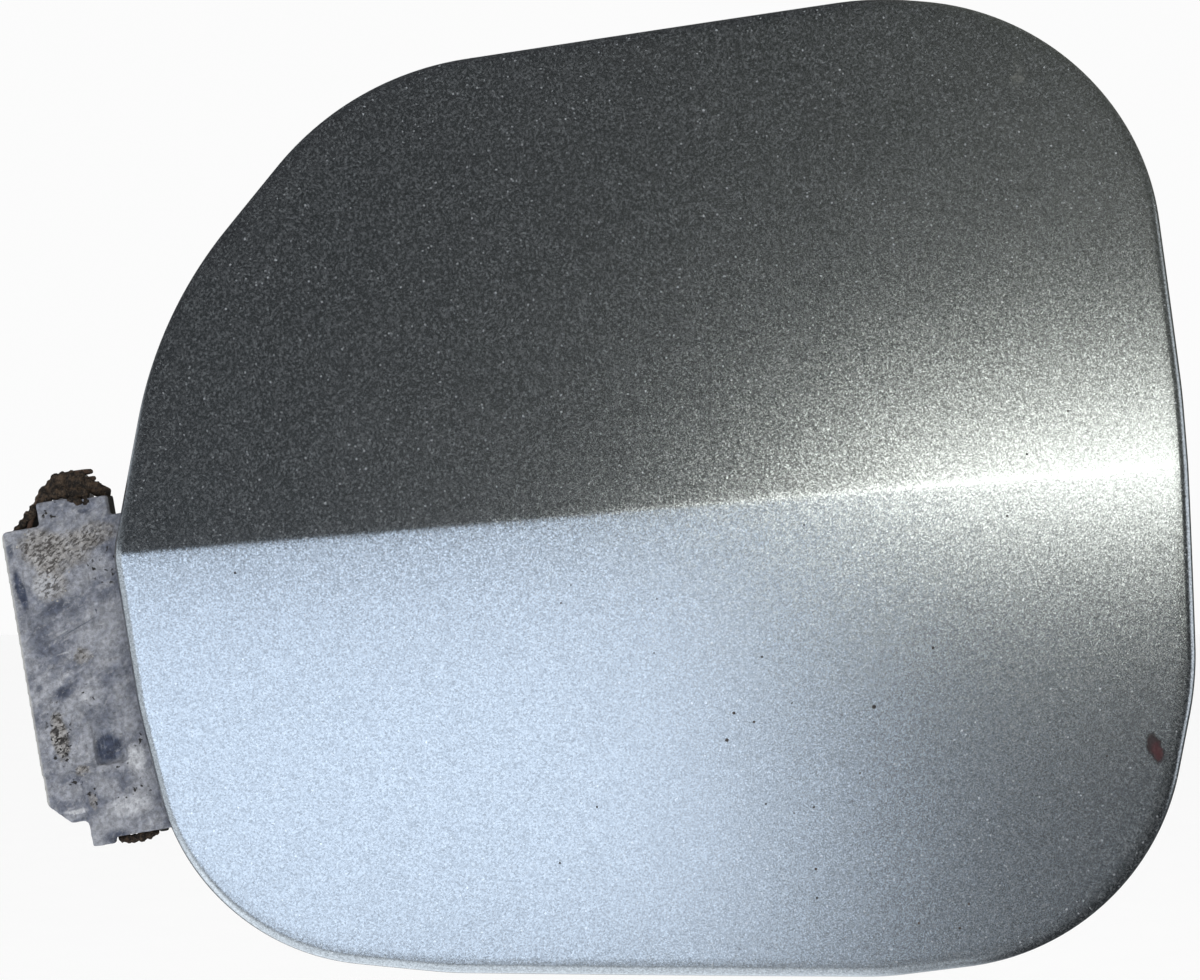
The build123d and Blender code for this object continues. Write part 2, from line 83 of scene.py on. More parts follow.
# The panel's outer surface in millimetres and degrees, in a frame at the middle of its outline
HALF_W = 187.4 / 2
HALF_H = 173.0 / 2
CREASE_Z = -4.7
CREASE_RISE = math.radians(4.8)
UPPER_LEAN = math.radians(9.2)
LOWER_LEAN = math.radians(1.3)
FLANK_R = 1050.0
CROWN_R = 2200.0
CREASE_LEFT_Z = CREASE_Z - HALF_W * math.tan(CREASE_RISE)
OUTLINE = [
    (-HALF_W, CREASE_LEFT_Z, 15.0),
    (-HALF_W + 6.5, HALF_H - 57.0, 74.0),
    (-HALF_W + 39.5, HALF_H - 14.0, 52.0),
    (HALF_W - 54.0, HALF_H + 0.5, 56.0),
    (HALF_W - 8.0, HALF_H - 3.5, 44.0),
    (HALF_W - 2.0, HALF_H - 71.0, 120.0),
    (HALF_W + 0.3, -HALF_H + 52.0, 55.0),
    (HALF_W - 8.0, -HALF_H + 5.5, 42.0),
    (HALF_W - 53.5, -HALF_H, 56.0),
    (-HALF_W + 58.0, -HALF_H + 0.8, 66.0),
    (-HALF_W + 14.5, -HALF_H + 5.0, 39.0),
    (-HALF_W + 4.2, -HALF_H + 47.0, 74.0),
]
# The panel's mesh: steps per corner, rays and rings, and how far its edge stays inside the solid's
ARC_STEPS = 160
RAYS = 640
RAY_CROWDING = 0.86
FRONT_RINGS = 54
BACK_RINGS = 6
INNER_RING = 0.006
ROLL_STEPS = 7
EDGE_INSET = 0.02
SLOPE_STEP = 0.5

# The hinge's frame: its axis, and millimetres to metres
JOINT = frame["joints"][0]
HINGE_AT = Vector(JOINT["pos_m"])
HINGE_UP = -Vector(JOINT["axis"]).normalized()
HINGE_RIGHT = Vector((HINGE_UP.z, 0, -HINGE_UP.x))
HINGE_TURN = math.atan2(HINGE_UP.x, HINGE_UP.z)
HINGE = Matrix.Translation(HINGE_AT) @ Matrix(
    ((HINGE_RIGHT.x, 0, HINGE_UP.x), (HINGE_RIGHT.y, 1, HINGE_UP.y), (HINGE_RIGHT.z, 0, HINGE_UP.z))
).to_4x4() @ Matrix.Scale(MM, 4)
ARM_FACE = -6.2

# Closing spring, in the hinge's frame: its two legs and the coil between them
WIRE_R = 0.45
COIL_R = 3.4
COIL_PITCH = 0.96
COIL_TURNS = 2.5
COIL_START = 31.3
COIL_END = COIL_START + COIL_TURNS * COIL_PITCH
ARM_LEG = [(-9.6, -COIL_R, 24.1), (-6.4, -COIL_R, COIL_START), (0.0, -COIL_R, COIL_START)]
EAR_LEG = [(0.0, COIL_R, COIL_END), (-4.4, COIL_R, COIL_END), (-4.4, 18.98, COIL_END)]
LEG_BEND = 1.6
COIL_STEPS = 48
BEND_STEPS = 12
WIRE_SIDES = 14

# Near-black dirt packed round the coil, beside the lug and in the lower lug's hollow, also standing in as
# painted shade there: middle and radius
DIRT_AND_SHADE = [
    (-4.8, -2.4, 32.0, 1.5), (-3.2, -2.8, 33.0, 1.5), (-1.6, -2.9, 33.3, 1.4), (0.0, -2.9, 33.2, 1.4),
    (1.5, -2.9, 32.9, 1.4), (2.8, -2.6, 32.3, 1.3), (4.2, -2.2, 31.4, 1.3), (5.3, -1.6, 30.6, 1.1),
    (-5.7, -2.6, 31.1, 1.2), (-2.6, -3.0, 34.4, 0.8), (-1.2, -3.3, 34.6, 0.8), (0.4, -3.3, 34.6, 0.8),
    (1.9, -3.1, 34.3, 0.8), (-5.6, -3.8, 30.6, 0.9), (-7.0, -3.4, 29.6, 1.0), (-8.2, -3.3, 28.6, 1.0),
    (-9.4, -3.2, 27.6, 0.9), (-10.4, -3.2, 26.8, 0.7), (-4.2, -4.1, 31.4, 1.0), (-2.6, -4.3, 31.6, 1.0),
    (-1.0, -4.3, 31.6, 1.0), (0.6, -4.2, 31.3, 1.0), (2.2, -4.0, 30.9, 1.0), (-1.5, -2.6, -30.1, 0.8),
    (-0.4, -3.2, -30.3, 0.9), (0.8, -3.6, -30.4, 0.9), (2.0, -3.5, -30.4, 0.9), (3.2, -3.0, -30.2, 0.85),
    (4.3, -2.4, -30.0, 0.7), (1.2, -5.6, 29.7, 0.8), (2.6, -5.2, 29.3, 0.85), (3.9, -4.6, 29.0, 0.8),
    (5.0, -3.6, 28.9, 0.7), (0.0, -5.7, 30.3, 0.6),
]

# The photograph's frame, in pixels, and the size of a pixel on the panel
FRAME_MIDDLE = (600.0, 490.0)
FRAME_SIZE = (1200.0, 980.0)
PIXEL = 0.173
VIEW_PLANE = 4.0
VIEW_FROM = (-9.5, -1.57)

# Tar specks: their pixels and their widths in millimetres
SPECKS = [
    (762, 657, 0.40), (734, 713, 0.55), (754, 722, 0.45), (727, 740, 0.65), (874, 707, 0.75),
    (814, 807, 0.45), (816, 869, 0.50), (817, 898, 0.45), (766, 804, 0.35), (794, 813, 0.30),
    (860, 773, 0.35), (792, 703, 0.30), (919, 923, 0.50), (960, 928, 0.50), (969, 904, 0.40),
    (597, 807, 0.40), (560, 863, 0.40), (804, 525, 0.35), (657, 599, 0.30), (561, 603, 0.35),
    (571, 585, 0.30), (654, 653, 0.30), (1068, 411, 0.40), (1027, 454, 0.45), (1007, 516, 0.40),
    (235, 573, 0.45), (933, 648, 0.50), (1107, 756, 0.40),
]

# Crusted mud on the arm's face, in the hinge's frame: middle, half sizes and height
CRUSTS = [
    (-6.6, 22.8, 5.2, 4.8, 0.40),
    (-5.8, 16.6, 4.2, 4.6, 0.32),
    (-1.2, 21.6, 5.4, 4.4, 0.28),
    (3.8, 23.8, 5.2, 3.0, 0.20),
    (-8.7, -10.2, 1.9, 5.8, 0.55),
    (-5.8, -17.0, 2.0, 1.5, 0.35),
    (-2.4, 2.9, 2.4, 2.0, 0.20),
    (-4.6, -22.6, 0.9, 2.4, 0.16),
]

# Where crust lies, how it breaks up, and the face widths of the arm's and the dirt's meshes
CRUST_RIGHT = 2.2
CRUST_FADE = 2.0
CRUST_DEPTH = 1.6
CRUST_FACING = 0.3
CRUST_GAIN = 2.2
CRUST_RAGGED = 0.35
FILM_HEIGHT = 0.06
ARM_VOXEL = 0.36
DIRT_VOXEL = 0.22

# Places on the arm where the mud film is pitted: middle and half sizes
PITTED = [
    (-7.3, -18.6, 3.2, 1.0), (-4.7, -22.4, 1.3, 3.0), (4.2, -21.6, 2.2, 2.2), (1.0, -23.3, 2.4, 1.2),
    (4.8, -13.4, 1.6, 1.6), (0.4, -17.4, 3.0, 0.9), (-2.6, -5.0, 1.4, 3.4), (-8.7, -10.2, 2.6, 7.0),
    (4.0, 18.0, 3.4, 4.0), (-3.6, 29.0, 2.2, 1.6),
]

# Slate patches where the film has worn, and pale ones: middle, half sizes, turn in degrees and share
WORN = [
    (-0.7, -13.9, 3.1, 2.9, 0, 1.3), (-1.0, -10.5, 3.0, 5.0, 0, 0.4), (-0.8, -18.3, 3.0, 1.0, 0, 0.3),
    (-11.2, 16.0, 1.05, 4.4, 6, 1.3), (-5.4, 12.1, 4.8, 1.5, 21, 0.65), (2.8, 21.5, 1.6, 0.55, 33, 0.75),
    (-6.7, -2.9, 2.6, 1.5, 20, 0.8), (-10.7, -1.6, 0.9, 0.9, 0, 0.5), (-9.2, 7.4, 3.2, 4.6, 0, 0.6),
    (1.8, 27.9, 1.3, 0.5, 0, 0.7), (-3.6, 29.0, 2.4, 1.7, 0, 0.4), (-11.8, 23.2, 0.7, 1.8, 0, 0.6),
    (1.3, 10.2, 0.17, 0.6, 8, 1.3), (-2.2, 8.0, 4.2, 0.14, 21, 0.55), (-7.4, -25.4, 2.8, 0.4, 0, 0.4),
    (-1.8, -29.6, 3.0, 2.2, 0, 0.8),
]
PALE = [
    (4.0, -16.4, 2.4, 3.2, 0, 1.2), (1.6, -24.4, 5.0, 2.4, 0, 0.8), (-8.0, -23.9, 2.6, 0.55, 0, 1.2),
    (-6.6, 16.0, 3.2, 3.0, 0, 1.0), (-8.5, -20.3, 3.4, 2.2, 0, 0.45), (3.8, 14.4, 2.4, 0.7, 10, 0.5),
    (4.4, 17.4, 1.6, 2.4, 0, 0.3), (-6.4, -0.6, 2.8, 0.6, 35, 0.5), (-5.2, 7.4, 1.5, 0.3, 25, 0.6),
    (-5.6, 3.9, 1.7, 0.3, 15, 0.6), (-2.0, -3.4, 3.0, 3.4, 0, 0.5), (-1.6, -21.0, 2.8, 2.4, 0, 0.45),
]

# Streaks in the mud: their lean in degrees and their stretch
FILM_LEAN = -35
FILM_STRETCH = (2.0, 1.0, 1.0)
DASH_LEAN = -32
DASH_STRETCH = (2.4, 1.0, 1.0)
RUB_STRETCH = (1.0, 1.0, 5.0)

# The rubbed dent and the holed crust on the arm's face: middle and half sizes
RUB_MIDDLE = (-0.7, -13.0)
RUB_HALF = (3.2, 4.6)
HOLES_MIDDLE = (-8.5, -10.4)
HOLES_HALF = (1.8, 5.8)

# The arm's left edge, made pale as dust and as a painted rim highlight, and the depth at which its face
# gives way to its grimy back
ARM_EDGE = (-12.3, -12.8)
ARM_BACK = (-4.9, -3.6)

# Flake in the paint: cells in a millimetre, and how far a cell tips the surface
FLAKE = 4.2
FINE_FLAKE = 9.0
# Painted glints: cells in a millimetre of the rare flakes that get a brighter base colour and less metal,
# so they sparkle under the fill
PAINTED_GLINT_SCALE = 3.8
SPARK = 3.2
GRAIN = 2.7
FLAKE_TIP = (0.036, 0.0, 0.036)
FINE_TIP = (0.085, 0.0, 0.085)
CELL_MIDDLE = (0.5, 0.5, 0.5)

# Marks on the paint: hairlines, scuffs by pixel, half sizes and share, and the chip down to primer
HAIRLINE_LEAN = -55
HAIRLINE_STRETCH = (14.0, 1.0, 1.0)
SCUFFS = [(1018, 74, 1.9, 3.4, 1.0), (1024, 57, 3.6, 1.0, 0.6)]
CHIP_PIXEL = (1155, 748)
CHIP_LEAN = math.radians(20)
CHIP_HALF = (1.7, 3.4)
CHIP_REACH = (2.4, 1.6)
PRIMER_MIDDLE = (0.2, -0.7)
PRIMER_HALF = (1.2, 2.2)

# Loose mud: crumbs in a square metre, their smallest and largest widths, and their turns
CRUMBS = {"Density": 0.5e6, "Smallest": 0.15 * MM, "Largest": 0.5 * MM, "Seed": 11}
TURN_LIMIT = (6.28, 6.28, 6.28)

# Turned pieces: steps round them, and sizes in millimetres
LATHE_STEPS = 48
PIN_R = 2.0
PIN_HEAD_R = 3.5
PIN_HEAD = 0.9
STOP_STEM_R = 2.5
STOP_HEAD = 5.0
STOP_CROWN = 1.6
SCREW_R = 1.75
SCREW_HEAD = 2.2
SCREW_STEPS = 96
RECESS_RINGS = 22
RECESS_DEPTH = 1.1
RECESS_HALF = 0.42
RECESS_R = 1.85

# Mouldings: node, piece, body, slot and share of dust
MOULDINGS = [
    ("inner_carrier", "black_carrier", "door", "carrier_plastic", 0.35),
    ("hinge_bracket", "dusty_bracket", "bracket", "bracket_plastic", 0.7),
]
MOULDING_EASE = 0.3
STRIKER_EASE = 0.18
CLIP_EASE = 0.08

# Lights as seen from the panel: degrees to the right and up, width and height in metres, and tint
LIGHTS = {
    "cool_light": ((-18.8, -16.5), (1.12, 0.6), (0.74, 0.85, 1.0)),
    "warm_light": ((19.8, 8.8), (0.46, 0.50), (1.0, 1.0, 0.89)),
    "core_light": ((15.5, 8.0), (0.52, 0.15), (1.0, 1.0, 0.92)),
}

# Stage: metres to the lights, the sensor in millimetres, half the floor in metres and its tones
LIGHT_DISTANCE = 1.2
SENSOR = 36.0
FLOOR_HALF = 6.0
FLOOR_TONES = ((0.98, 0.98, 0.98), (0.995, 0.995, 0.995))

# Brightness of the parts of the room that the paint mirrors, and their tints
GLOW_BELOW = 2.2
GLOW_LEFT = 1.4
GLOW_RIGHT = 1.8
GLOW_SPILL = 0.5
GLOW_ABOVE = 0.09
ROOM_COOL = (0.93, 1.0, 1.06)
ROOM_WARM = (0.96, 1.0, 0.86)
ROOM_RIGHT = (0.95, 1.0, 1.06)
WHITE = (1.0, 1.0, 1.0)


def length_setting(name, description, millimetres):
    """A length, given in millimetres and kept in metres."""
    return FloatProperty(name=name, description=description, default=millimetres * MM, unit="LENGTH")


def power_setting(name, description, watts):
    """The power of a light."""
    return FloatProperty(name=name, description=description, default=watts, unit="POWER")


def colour_setting(name, description, value):
    """A colour of a finish."""
    return FloatVectorProperty(name=name, description=description, default=value, subtype="COLOR")


class PanelSettings(bpy.types.PropertyGroup):
    """Sizes of the painted panel."""

    hem_depth: length_setting("Hem depth", "Thickness of the folded edge", 4.4)
    hem_radius: length_setting("Hem radius", "Roll of the folded edge", 2.0)
    skin: length_setting("Skin", "Thickness of the pressed sheet", 0.8)
    lip: length_setting("Lip", "Width of the lip folded behind", 7.0)
    crease_soft: length_setting("Crease", "Softness of the crease's own line", 0.05)
    bend_soft: length_setting("Bend", "Softness of the wide bend beside the crease", 1.2)
    bend_share: FloatProperty(
        name="Bend at right",
        description="Share of the fold that is bend at the right end",
        default=0.42,
        subtype="FACTOR",
    )


class FinishSettings(bpy.types.PropertyGroup):
    """Colours of the door's finishes."""

    paint: colour_setting("Paint", "Metallic paint of the panel", (0.27, 0.285, 0.30))
    scuff: colour_setting("Scuff", "Scuffed paint", (0.5, 0.47, 0.41))
    hairline: colour_setting("Hairline", "Fine scratches in the paint", (0.6, 0.6, 0.58))
    chip: colour_setting("Chip", "Dark rim of the chip", (0.03, 0.017, 0.018))
    primer: colour_setting("Primer", "Primer inside the chip", (0.058, 0.017, 0.02))
    tar: colour_setting("Tar", "Specks of tar", (0.015, 0.012, 0.012))
    brown_tar: colour_setting("Brown tar", "Paler places in the tar", (0.045, 0.03, 0.024))
    smear: colour_setting("Mud smear", "Thin mud film on the arm", (0.092, 0.10, 0.13))
    mud: colour_setting("Dried mud", "Thick mud film on the arm", (0.225, 0.231, 0.257))
    pale_mud: colour_setting("Pale mud", "Palest mud on the arm", (0.37, 0.375, 0.40))
    slate: colour_setting("Slate", "Plastic where the film has worn", (0.035, 0.043, 0.07))
    rub: colour_setting("Rub", "Rubbed lines in the arm's dent", (0.20, 0.22, 0.27))
    pale_streak: colour_setting("Pale streak", "Pale streaks in the film", (0.33, 0.33, 0.34))
    dark_streak: colour_setting("Dark streak", "Dark streaks in the film", (0.06, 0.065, 0.085))
    stroke: colour_setting("Stroke", "Slanting strokes in the film", (0.38, 0.38, 0.40))
    # Crust colours follow the bump's height: darker in its hollows as painted shade, paler on its high
    # places as painted highlight
    dark_crust_and_shade: colour_setting("Dark crust", "Crust in its hollows", (0.19, 0.175, 0.16))
    pale_crust_and_highlight: colour_setting("Pale crust", "Crust on its high places", (0.38, 0.362, 0.345))
    crack: colour_setting("Crack", "Dark dashes in the crust", (0.035, 0.03, 0.028))
    pit: colour_setting("Pit", "Pits and holes in the mud", (0.022, 0.02, 0.02))
    # Pale left edge of the arm: dust and a painted rim highlight
    edge_dust_and_highlight: colour_setting("Edge dust", "Dust on the arm's left edge", (0.42, 0.41, 0.39))
    grime: colour_setting("Grime", "The arm's back", (0.012, 0.011, 0.01))
    pale_grime: colour_setting("Pale grime", "Dust on the arm's back", (0.05, 0.042, 0.035))
    crumb: colour_setting("Crumb", "Loose crumbs of mud", (0.25, 0.24, 0.23))
    # Crumbs are darker where their bump is low: painted shade in the hollows
    dark_crumb_and_shade: colour_setting("Dark crumb", "Crumbs in their hollows", (0.12, 0.11, 0.10))
    pale_crumb: colour_setting("Pale crumb", "The palest crumbs", (0.40, 0.385, 0.37))
    # Near-black dirt round the coil and in the lower lug: dirt and painted shade
    dirt: colour_setting("Dirt", "Dirt packed round the coil", (0.012, 0.010, 0.009))
    brown_dirt: colour_setting("Brown dirt", "Rust dust in the dirt", (0.055, 0.038, 0.026))
    grit: colour_setting("Grit", "Pale grit in the dirt", (0.14, 0.11, 0.085))
    plastic: colour_setting("Plastic", "Carrier and bracket", (0.02, 0.02, 0.022))
    dust: colour_setting("Dust", "Dust on the carrier and the bracket", (0.13, 0.12, 0.11))
    rust: colour_setting("Rust", "Rust on the spring and the pin", (0.065, 0.033, 0.019))
    dark_rust: colour_setting("Dark rust", "Rust on its high places", (0.035, 0.02, 0.013))
    old_steel: colour_setting("Old steel", "Steel between the rust", (0.07, 0.06, 0.055))
    zinc: colour_setting("Zinc", "Plating of the striker and the screws", (0.55, 0.55, 0.53))
    dull_zinc: colour_setting("Dull zinc", "Darker spangles of the plating", (0.36, 0.36, 0.36))
    zinc_stain: colour_setting("Zinc stain", "Brown stains on the plating", (0.20, 0.13, 0.08))
    rubber: colour_setting("Rubber", "Bump stops", (0.018, 0.018, 0.018))
    bloom: colour_setting("Bloom", "Dust on the rubber", (0.09, 0.088, 0.085))


class StageSettings(bpy.types.PropertyGroup):
    """Camera, floor and light."""

    camera_distance: length_setting("Camera distance", "From the camera to the panel", 420.0)
    floor_drop: length_setting("Floor drop", "Floor below the lowest point", 300.0)
    cool_light: power_setting("Cool light", "Large light at the lower left", 6.8)
    warm_light: power_setting("Warm light", "Small light at the right", 3.3)
    core_light: power_setting("Core light", "Strip inside the warm light", 0.9)
    backdrop: FloatProperty(name="Backdrop", description="Brightness behind the door", default=0.97)
    room: FloatProperty(name="Room", description="Brightness that the paint mirrors", default=0.066)
    fill: FloatProperty(name="Fill", description="Brightness that lights dull surfaces", default=1.0)


class Wire:
    """A node's output. Sums and products of wires and numbers add Math nodes."""

    def __init__(self, tree, socket):
        self.tree = tree
        self.socket = socket

    def __add__(self, other):
        return self.tree.math("ADD", self, other)

    def __sub__(self, other):
        return self.tree.math("SUBTRACT", self, other)

    def __rsub__(self, other):
        return self.tree.math("SUBTRACT", other, self)

    def __mul__(self, other):
        return self.tree.math("MULTIPLY", self, other)

    def __truediv__(self, other):
        return self.tree.math("DIVIDE", self, other)

    def __pow__(self, other):
        return self.tree.math("POWER", self, other)

    __radd__ = __add__
    __rmul__ = __mul__

    def ramp(self, low, high):
        """From 0 at one value to 1 at another, smoothly."""
        sockets = {"Value": self, "From Min": low, "From Max": high}
        return self.tree.add("ShaderNodeMapRange", {"interpolation_type": "SMOOTHSTEP"}, sockets)


class Tree:
    """A node tree that is filled by one method."""

    def __init__(self, tree):
        self.tree = tree

    def add(self, kind, settings=None, sockets=None, output=0):
        """A node of a kind: its settings are set first, then its sockets, by value or by wire."""
        node = self.tree.nodes.new(kind)
        for name, value in (settings or {}).items():
            setattr(node, name, value)
        for name, value in (sockets or {}).items():
            self.feed(node.inputs[name], value)
        return Wire(self, node.outputs[output]) if len(node.outputs) else node

    def feed(self, socket, value):
        """Gives a socket a wire or a value."""
        if isinstance(value, Wire):
            self.tree.links.new(value.socket, socket)
        elif socket.type == "RGBA":
            socket.default_value = (*value, 1.0)
        else:
            socket.default_value = value

    def math(self, operation, *values):
        return self.add("ShaderNodeMath", {"operation": operation}, dict(enumerate(values)))

    def vector(self, operation, *values):
        return self.add("ShaderNodeVectorMath", {"operation": operation}, dict(enumerate(values)))

    def mix(self, share, first, second):
        """The first colour, and the second where share is 1."""
        settings = {"data_type": "RGBA", "clamp_factor": True}
        return self.add("ShaderNodeMix", settings, {0: share, 6: first, 7: second}, 2)

    def noise(self, at, scale, detail=3.0, roughness=0.55):
        sockets = {"Vector": at, "Scale": scale, "Detail": detail, "Roughness": roughness}
        return self.add("ShaderNodeTexNoise", {}, sockets)

    def cells(self, at, scale, output="Color"):
        return self.add("ShaderNodeTexVoronoi", {}, {"Vector": at, "Scale": scale}, output)

    def split(self, at):
        """The three numbers of a vector."""
        node = self.add("ShaderNodeSeparateXYZ", {}, {"Vector": at}).socket.node
        return [Wire(self, socket) for socket in node.outputs]


class Finish(Tree):
    """A procedural material."""

    def __init__(self, name):
        self.material = bpy.data.materials.new(name)
        self.material.use_nodes = True
        super().__init__(self.material.node_tree)
        self.shader = self.tree.nodes["Principled BSDF"]

    def set(self, **values):
        """Feeds the shader: underscores in the names stand for spaces."""
        for name, value in values.items():
            self.feed(self.shader.inputs[name.replace("_", " ")], value)
        return self.material

    def here(self, origin=(0.0, 0.0, 0.0), turn=0.0):
        """Places on the piece in millimetres from an origin, turned about Y."""
        at = self.add("ShaderNodeTexCoord", output="Object")
        sockets = {"Vector": at, "Location": origin, "Rotation": (0.0, turn, 0.0), "Scale": (MM, MM, MM)}
        return self.add("ShaderNodeMapping", {"vector_type": "TEXTURE"}, sockets)

    def stretched(self, at, lean, stretch):
        """Places turned about Y by degrees and drawn out, for streaks."""
        sockets = {"Vector": at, "Rotation": (0.0, math.radians(lean), 0.0), "Scale": stretch}
        return self.add("ShaderNodeMapping", {"vector_type": "TEXTURE"}, sockets)

    def shaded(self, colour, scale):
        """A colour times a number."""
        return self.add("ShaderNodeVectorMath", {"operation": "SCALE"}, {0: colour, "Scale": scale})

    def blob(self, x, z, middle, half):
        """1 in the middle of an ellipse, falling to 0 at its rim."""
        reach = ((x - middle[0]) / half[0]) ** 2 + ((z - middle[1]) / half[1]) ** 2
        return reach.ramp(1.0, 0.0)

    def patches(self, x, z, marks):
        """The summed shares of soft turned ellipses: middle, half sizes, turn in degrees and share."""
        total = 0.0
        for middle_x, middle_z, half_x, half_z, turn, share in marks:
            c, s = math.cos(math.radians(turn)), math.sin(math.radians(turn))
            across = x * c + z * s
            up = z * c - x * s
            middle = (middle_x * c + middle_z * s, middle_z * c - middle_x * s)
            total = share * self.blob(across, up, middle, (half_x, half_z)) + total
        return total

    def bump(self, height, strength, distance):
        sockets = {"Height": height, "Strength": strength, "Distance": distance}
        return self.add("ShaderNodeBump", {}, sockets)


def flank_drop(across, lean):
    """How far one flank of the panel falls back from the crease."""
    chord = across + FLANK_R * math.sin(lean)
    return FLANK_R * math.cos(lean) - np.sqrt(FLANK_R**2 - chord**2)


def crease_frame(x, z):
    """Distances along and across the crease, from its middle."""
    along = x * math.cos(CREASE_RISE) + (z - CREASE_Z) * math.sin(CREASE_RISE)
    across = (z - CREASE_Z) * math.cos(CREASE_RISE) - x * math.sin(CREASE_RISE)
    return along, across


def surface_depth(x, z, crease_soft, bend_soft, bend_share):
    """How far the panel's outer surface lies behind the middle of its crease, in millimetres."""
    along, across = crease_frame(x, z)
    upper = flank_drop(across, UPPER_LEAN)
    lower = flank_drop(-across, LOWER_LEAN)
    gap = (upper - lower) / 2
    bent = bend_share * np.clip((along + HALF_W) / (2 * HALF_W), 0, 1) ** 3
    fold = (1 - bent) * np.hypot(gap, crease_soft) + bent * (np.hypot(gap, bend_soft) - bend_soft / 2)
    drop = (upper + lower) / 2 + fold
    return CROWN_R - np.sqrt((CROWN_R - drop) ** 2 - along**2)


def rounded_outline():
    """Points round the panel's outline and their inward normals."""
    points = []
    inwards = []
    for i, (x, z, radius) in enumerate(OUTLINE):
        corner = np.array((x, z))
        arriving = corner - np.array(OUTLINE[i - 1][:2])
        leaving = np.array(OUTLINE[(i + 1) % len(OUTLINE)][:2]) - corner
        first = math.atan2(arriving[1], arriving[0])
        turn = first - math.atan2(leaving[1], leaving[0])
        turn = (turn + math.pi) % (2 * math.pi) - math.pi
        arriving = arriving / np.linalg.norm(arriving)
        start = corner - arriving * radius * math.tan(turn / 2)
        centre = start + radius * np.array((arriving[1], -arriving[0]))
        heading = first - turn * np.linspace(0, 1, ARC_STEPS)
        inward = np.stack([np.sin(heading), -np.cos(heading)], axis=1)
        points.append(centre - radius * inward)
        inwards.append(inward)
    return np.vstack(points), np.vstack(inwards)


def panel_origin():
    """The panel's own origin, in metres, from the box of its solid and its outline."""
    low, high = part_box("outer_panel")
    points, _ = rounded_outline()
    return Vector((low.x - points[:, 0].min() * MM, low.y, low.z - points[:, 1].min() * MM))


PANEL_AT = panel_origin()


def ringed_mesh(name, rings, start, end):
    """A closed skin over rings of points, drawn together to a point at each end."""
    rings = np.asarray(rings)
    rows, count = rings.shape[:2]
    places = np.vstack([rings.reshape(-1, 3), [start], [end]])
    here = np.arange(rows * count).reshape(rows, count)
    beside = np.roll(here, -1, axis=1)
    quads = np.stack([here[:-1], beside[:-1], beside[1:], here[1:]], axis=-1).reshape(-1, 4)
    first = [(rows * count, b, a) for a, b in zip(here[0], beside[0])]
    last = [(rows * count + 1, a, b) for a, b in zip(here[-1], beside[-1])]
    mesh = bpy.data.meshes.new(name)
    mesh.from_pydata(places.tolist(), [], quads.tolist() + first + last)
    return outward(mesh)


def outward(mesh):
    """Turns every face of a closed mesh outwards and shades it smoothly."""
    work = bmesh.new()
    work.from_mesh(mesh)
    bmesh.ops.remove_doubles(work, verts=work.verts, dist=1e-7)
    bmesh.ops.recalc_face_normals(work, faces=work.faces)
    work.to_mesh(mesh)
    work.free()
    mesh.shade_smooth()
    return mesh


def new_piece(name, mesh, material):
    """An object in the scene with one material."""
    mesh.materials.clear()
    mesh.materials.append(material)
    piece = bpy.data.objects.new(name, mesh)
    bpy.context.scene.collection.objects.link(piece)
    return piece


def made_plain(piece):
    """Turns a piece's modifiers into plain mesh."""
    ready = piece.evaluated_get(bpy.context.evaluated_depsgraph_get())
    mesh = bpy.data.meshes.new_from_object(ready)
    piece.modifiers.clear()
    piece.data = mesh
    return piece


def settle(piece, body, slot, *nodes):
    """Lets a piece ride on a body and stand for its nodes; its slot is not used."""
    if body:
        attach(piece, body)
    if nodes:
        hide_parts(*nodes)


def remeshed(piece, voxel):
    """Rebuilds a piece from even faces of one width, in millimetres."""
    remesh = piece.modifiers.new("Even faces", "REMESH")
    remesh.mode = "VOXEL"
    remesh.voxel_size = voxel * MM


def merged(node):
    """A node's mesh with its doubled corners merged."""
    work = bmesh.new()
    work.from_mesh(frame["nodes"][node].data)
    bmesh.ops.remove_doubles(work, verts=work.verts, dist=2e-6)
    return work


def solid_copy(node):
    """A merged copy of a node's mesh, with flat faces whole."""
    work = merged(node)
    flat = math.radians(0.6)
    bmesh.ops.dissolve_limit(
        work, angle_limit=flat, verts=work.verts, edges=work.edges, use_dissolve_boundaries=False
    )
    mesh = bpy.data.meshes.new(node)
    work.to_mesh(mesh)
    work.free()
    return mesh


def eased_copy(node, name, material, width):
    """A copy of a node with its sharp edges eased, as a moulding or pressing has them."""
    piece = new_piece(name, solid_copy(node), material)
    bevel = piece.modifiers.new("Eased edges", "BEVEL")
    bevel.width = width * MM
    bevel.segments = 2
    bevel.limit_method = "ANGLE"
    bevel.angle_limit = math.radians(38)
    bevel.use_clamp_overlap = True
    made_plain(piece)
    piece.data.shade_smooth()
    piece.data.set_sharp_from_angle(angle=math.radians(40))
    return piece


def islands(node):
    """The separate solids of a node: lowest and highest corners of each."""
    work = merged(node)
    left = set(work.verts)
    found = []
    while left:
        queue = [left.pop()]
        group = []
        while queue:
            vert = queue.pop()
            group.append(vert.co.copy())
            for edge in vert.link_edges:
                other = edge.other_vert(vert)
                if other in left:
                    left.discard(other)
                    queue.append(other)
        low = Vector([min(p[i] for p in group) for i in range(3)])
        high = Vector([max(p[i] for p in group) for i in range(3)])
        found.append((low, high))
    work.free()
    return sorted(found, key=lambda box: tuple(box[0]))


def lathed(name, profile, place):
    """A turned shape: radius and height pairs in millimetres, set in place by a matrix."""
    angles = np.linspace(0, 2 * math.pi, LATHE_STEPS, endpoint=False)
    rings = []
    for radius, height in profile[1:-1]:
        ring = [place @ Vector((radius * math.cos(a), radius * math.sin(a), height)) for a in angles]
        rings.append(ring)
    start = place @ Vector((0, 0, profile[0][1]))
    end = place @ Vector((0, 0, profile[-1][1]))
    return ringed_mesh(name, np.array(rings), start, end)


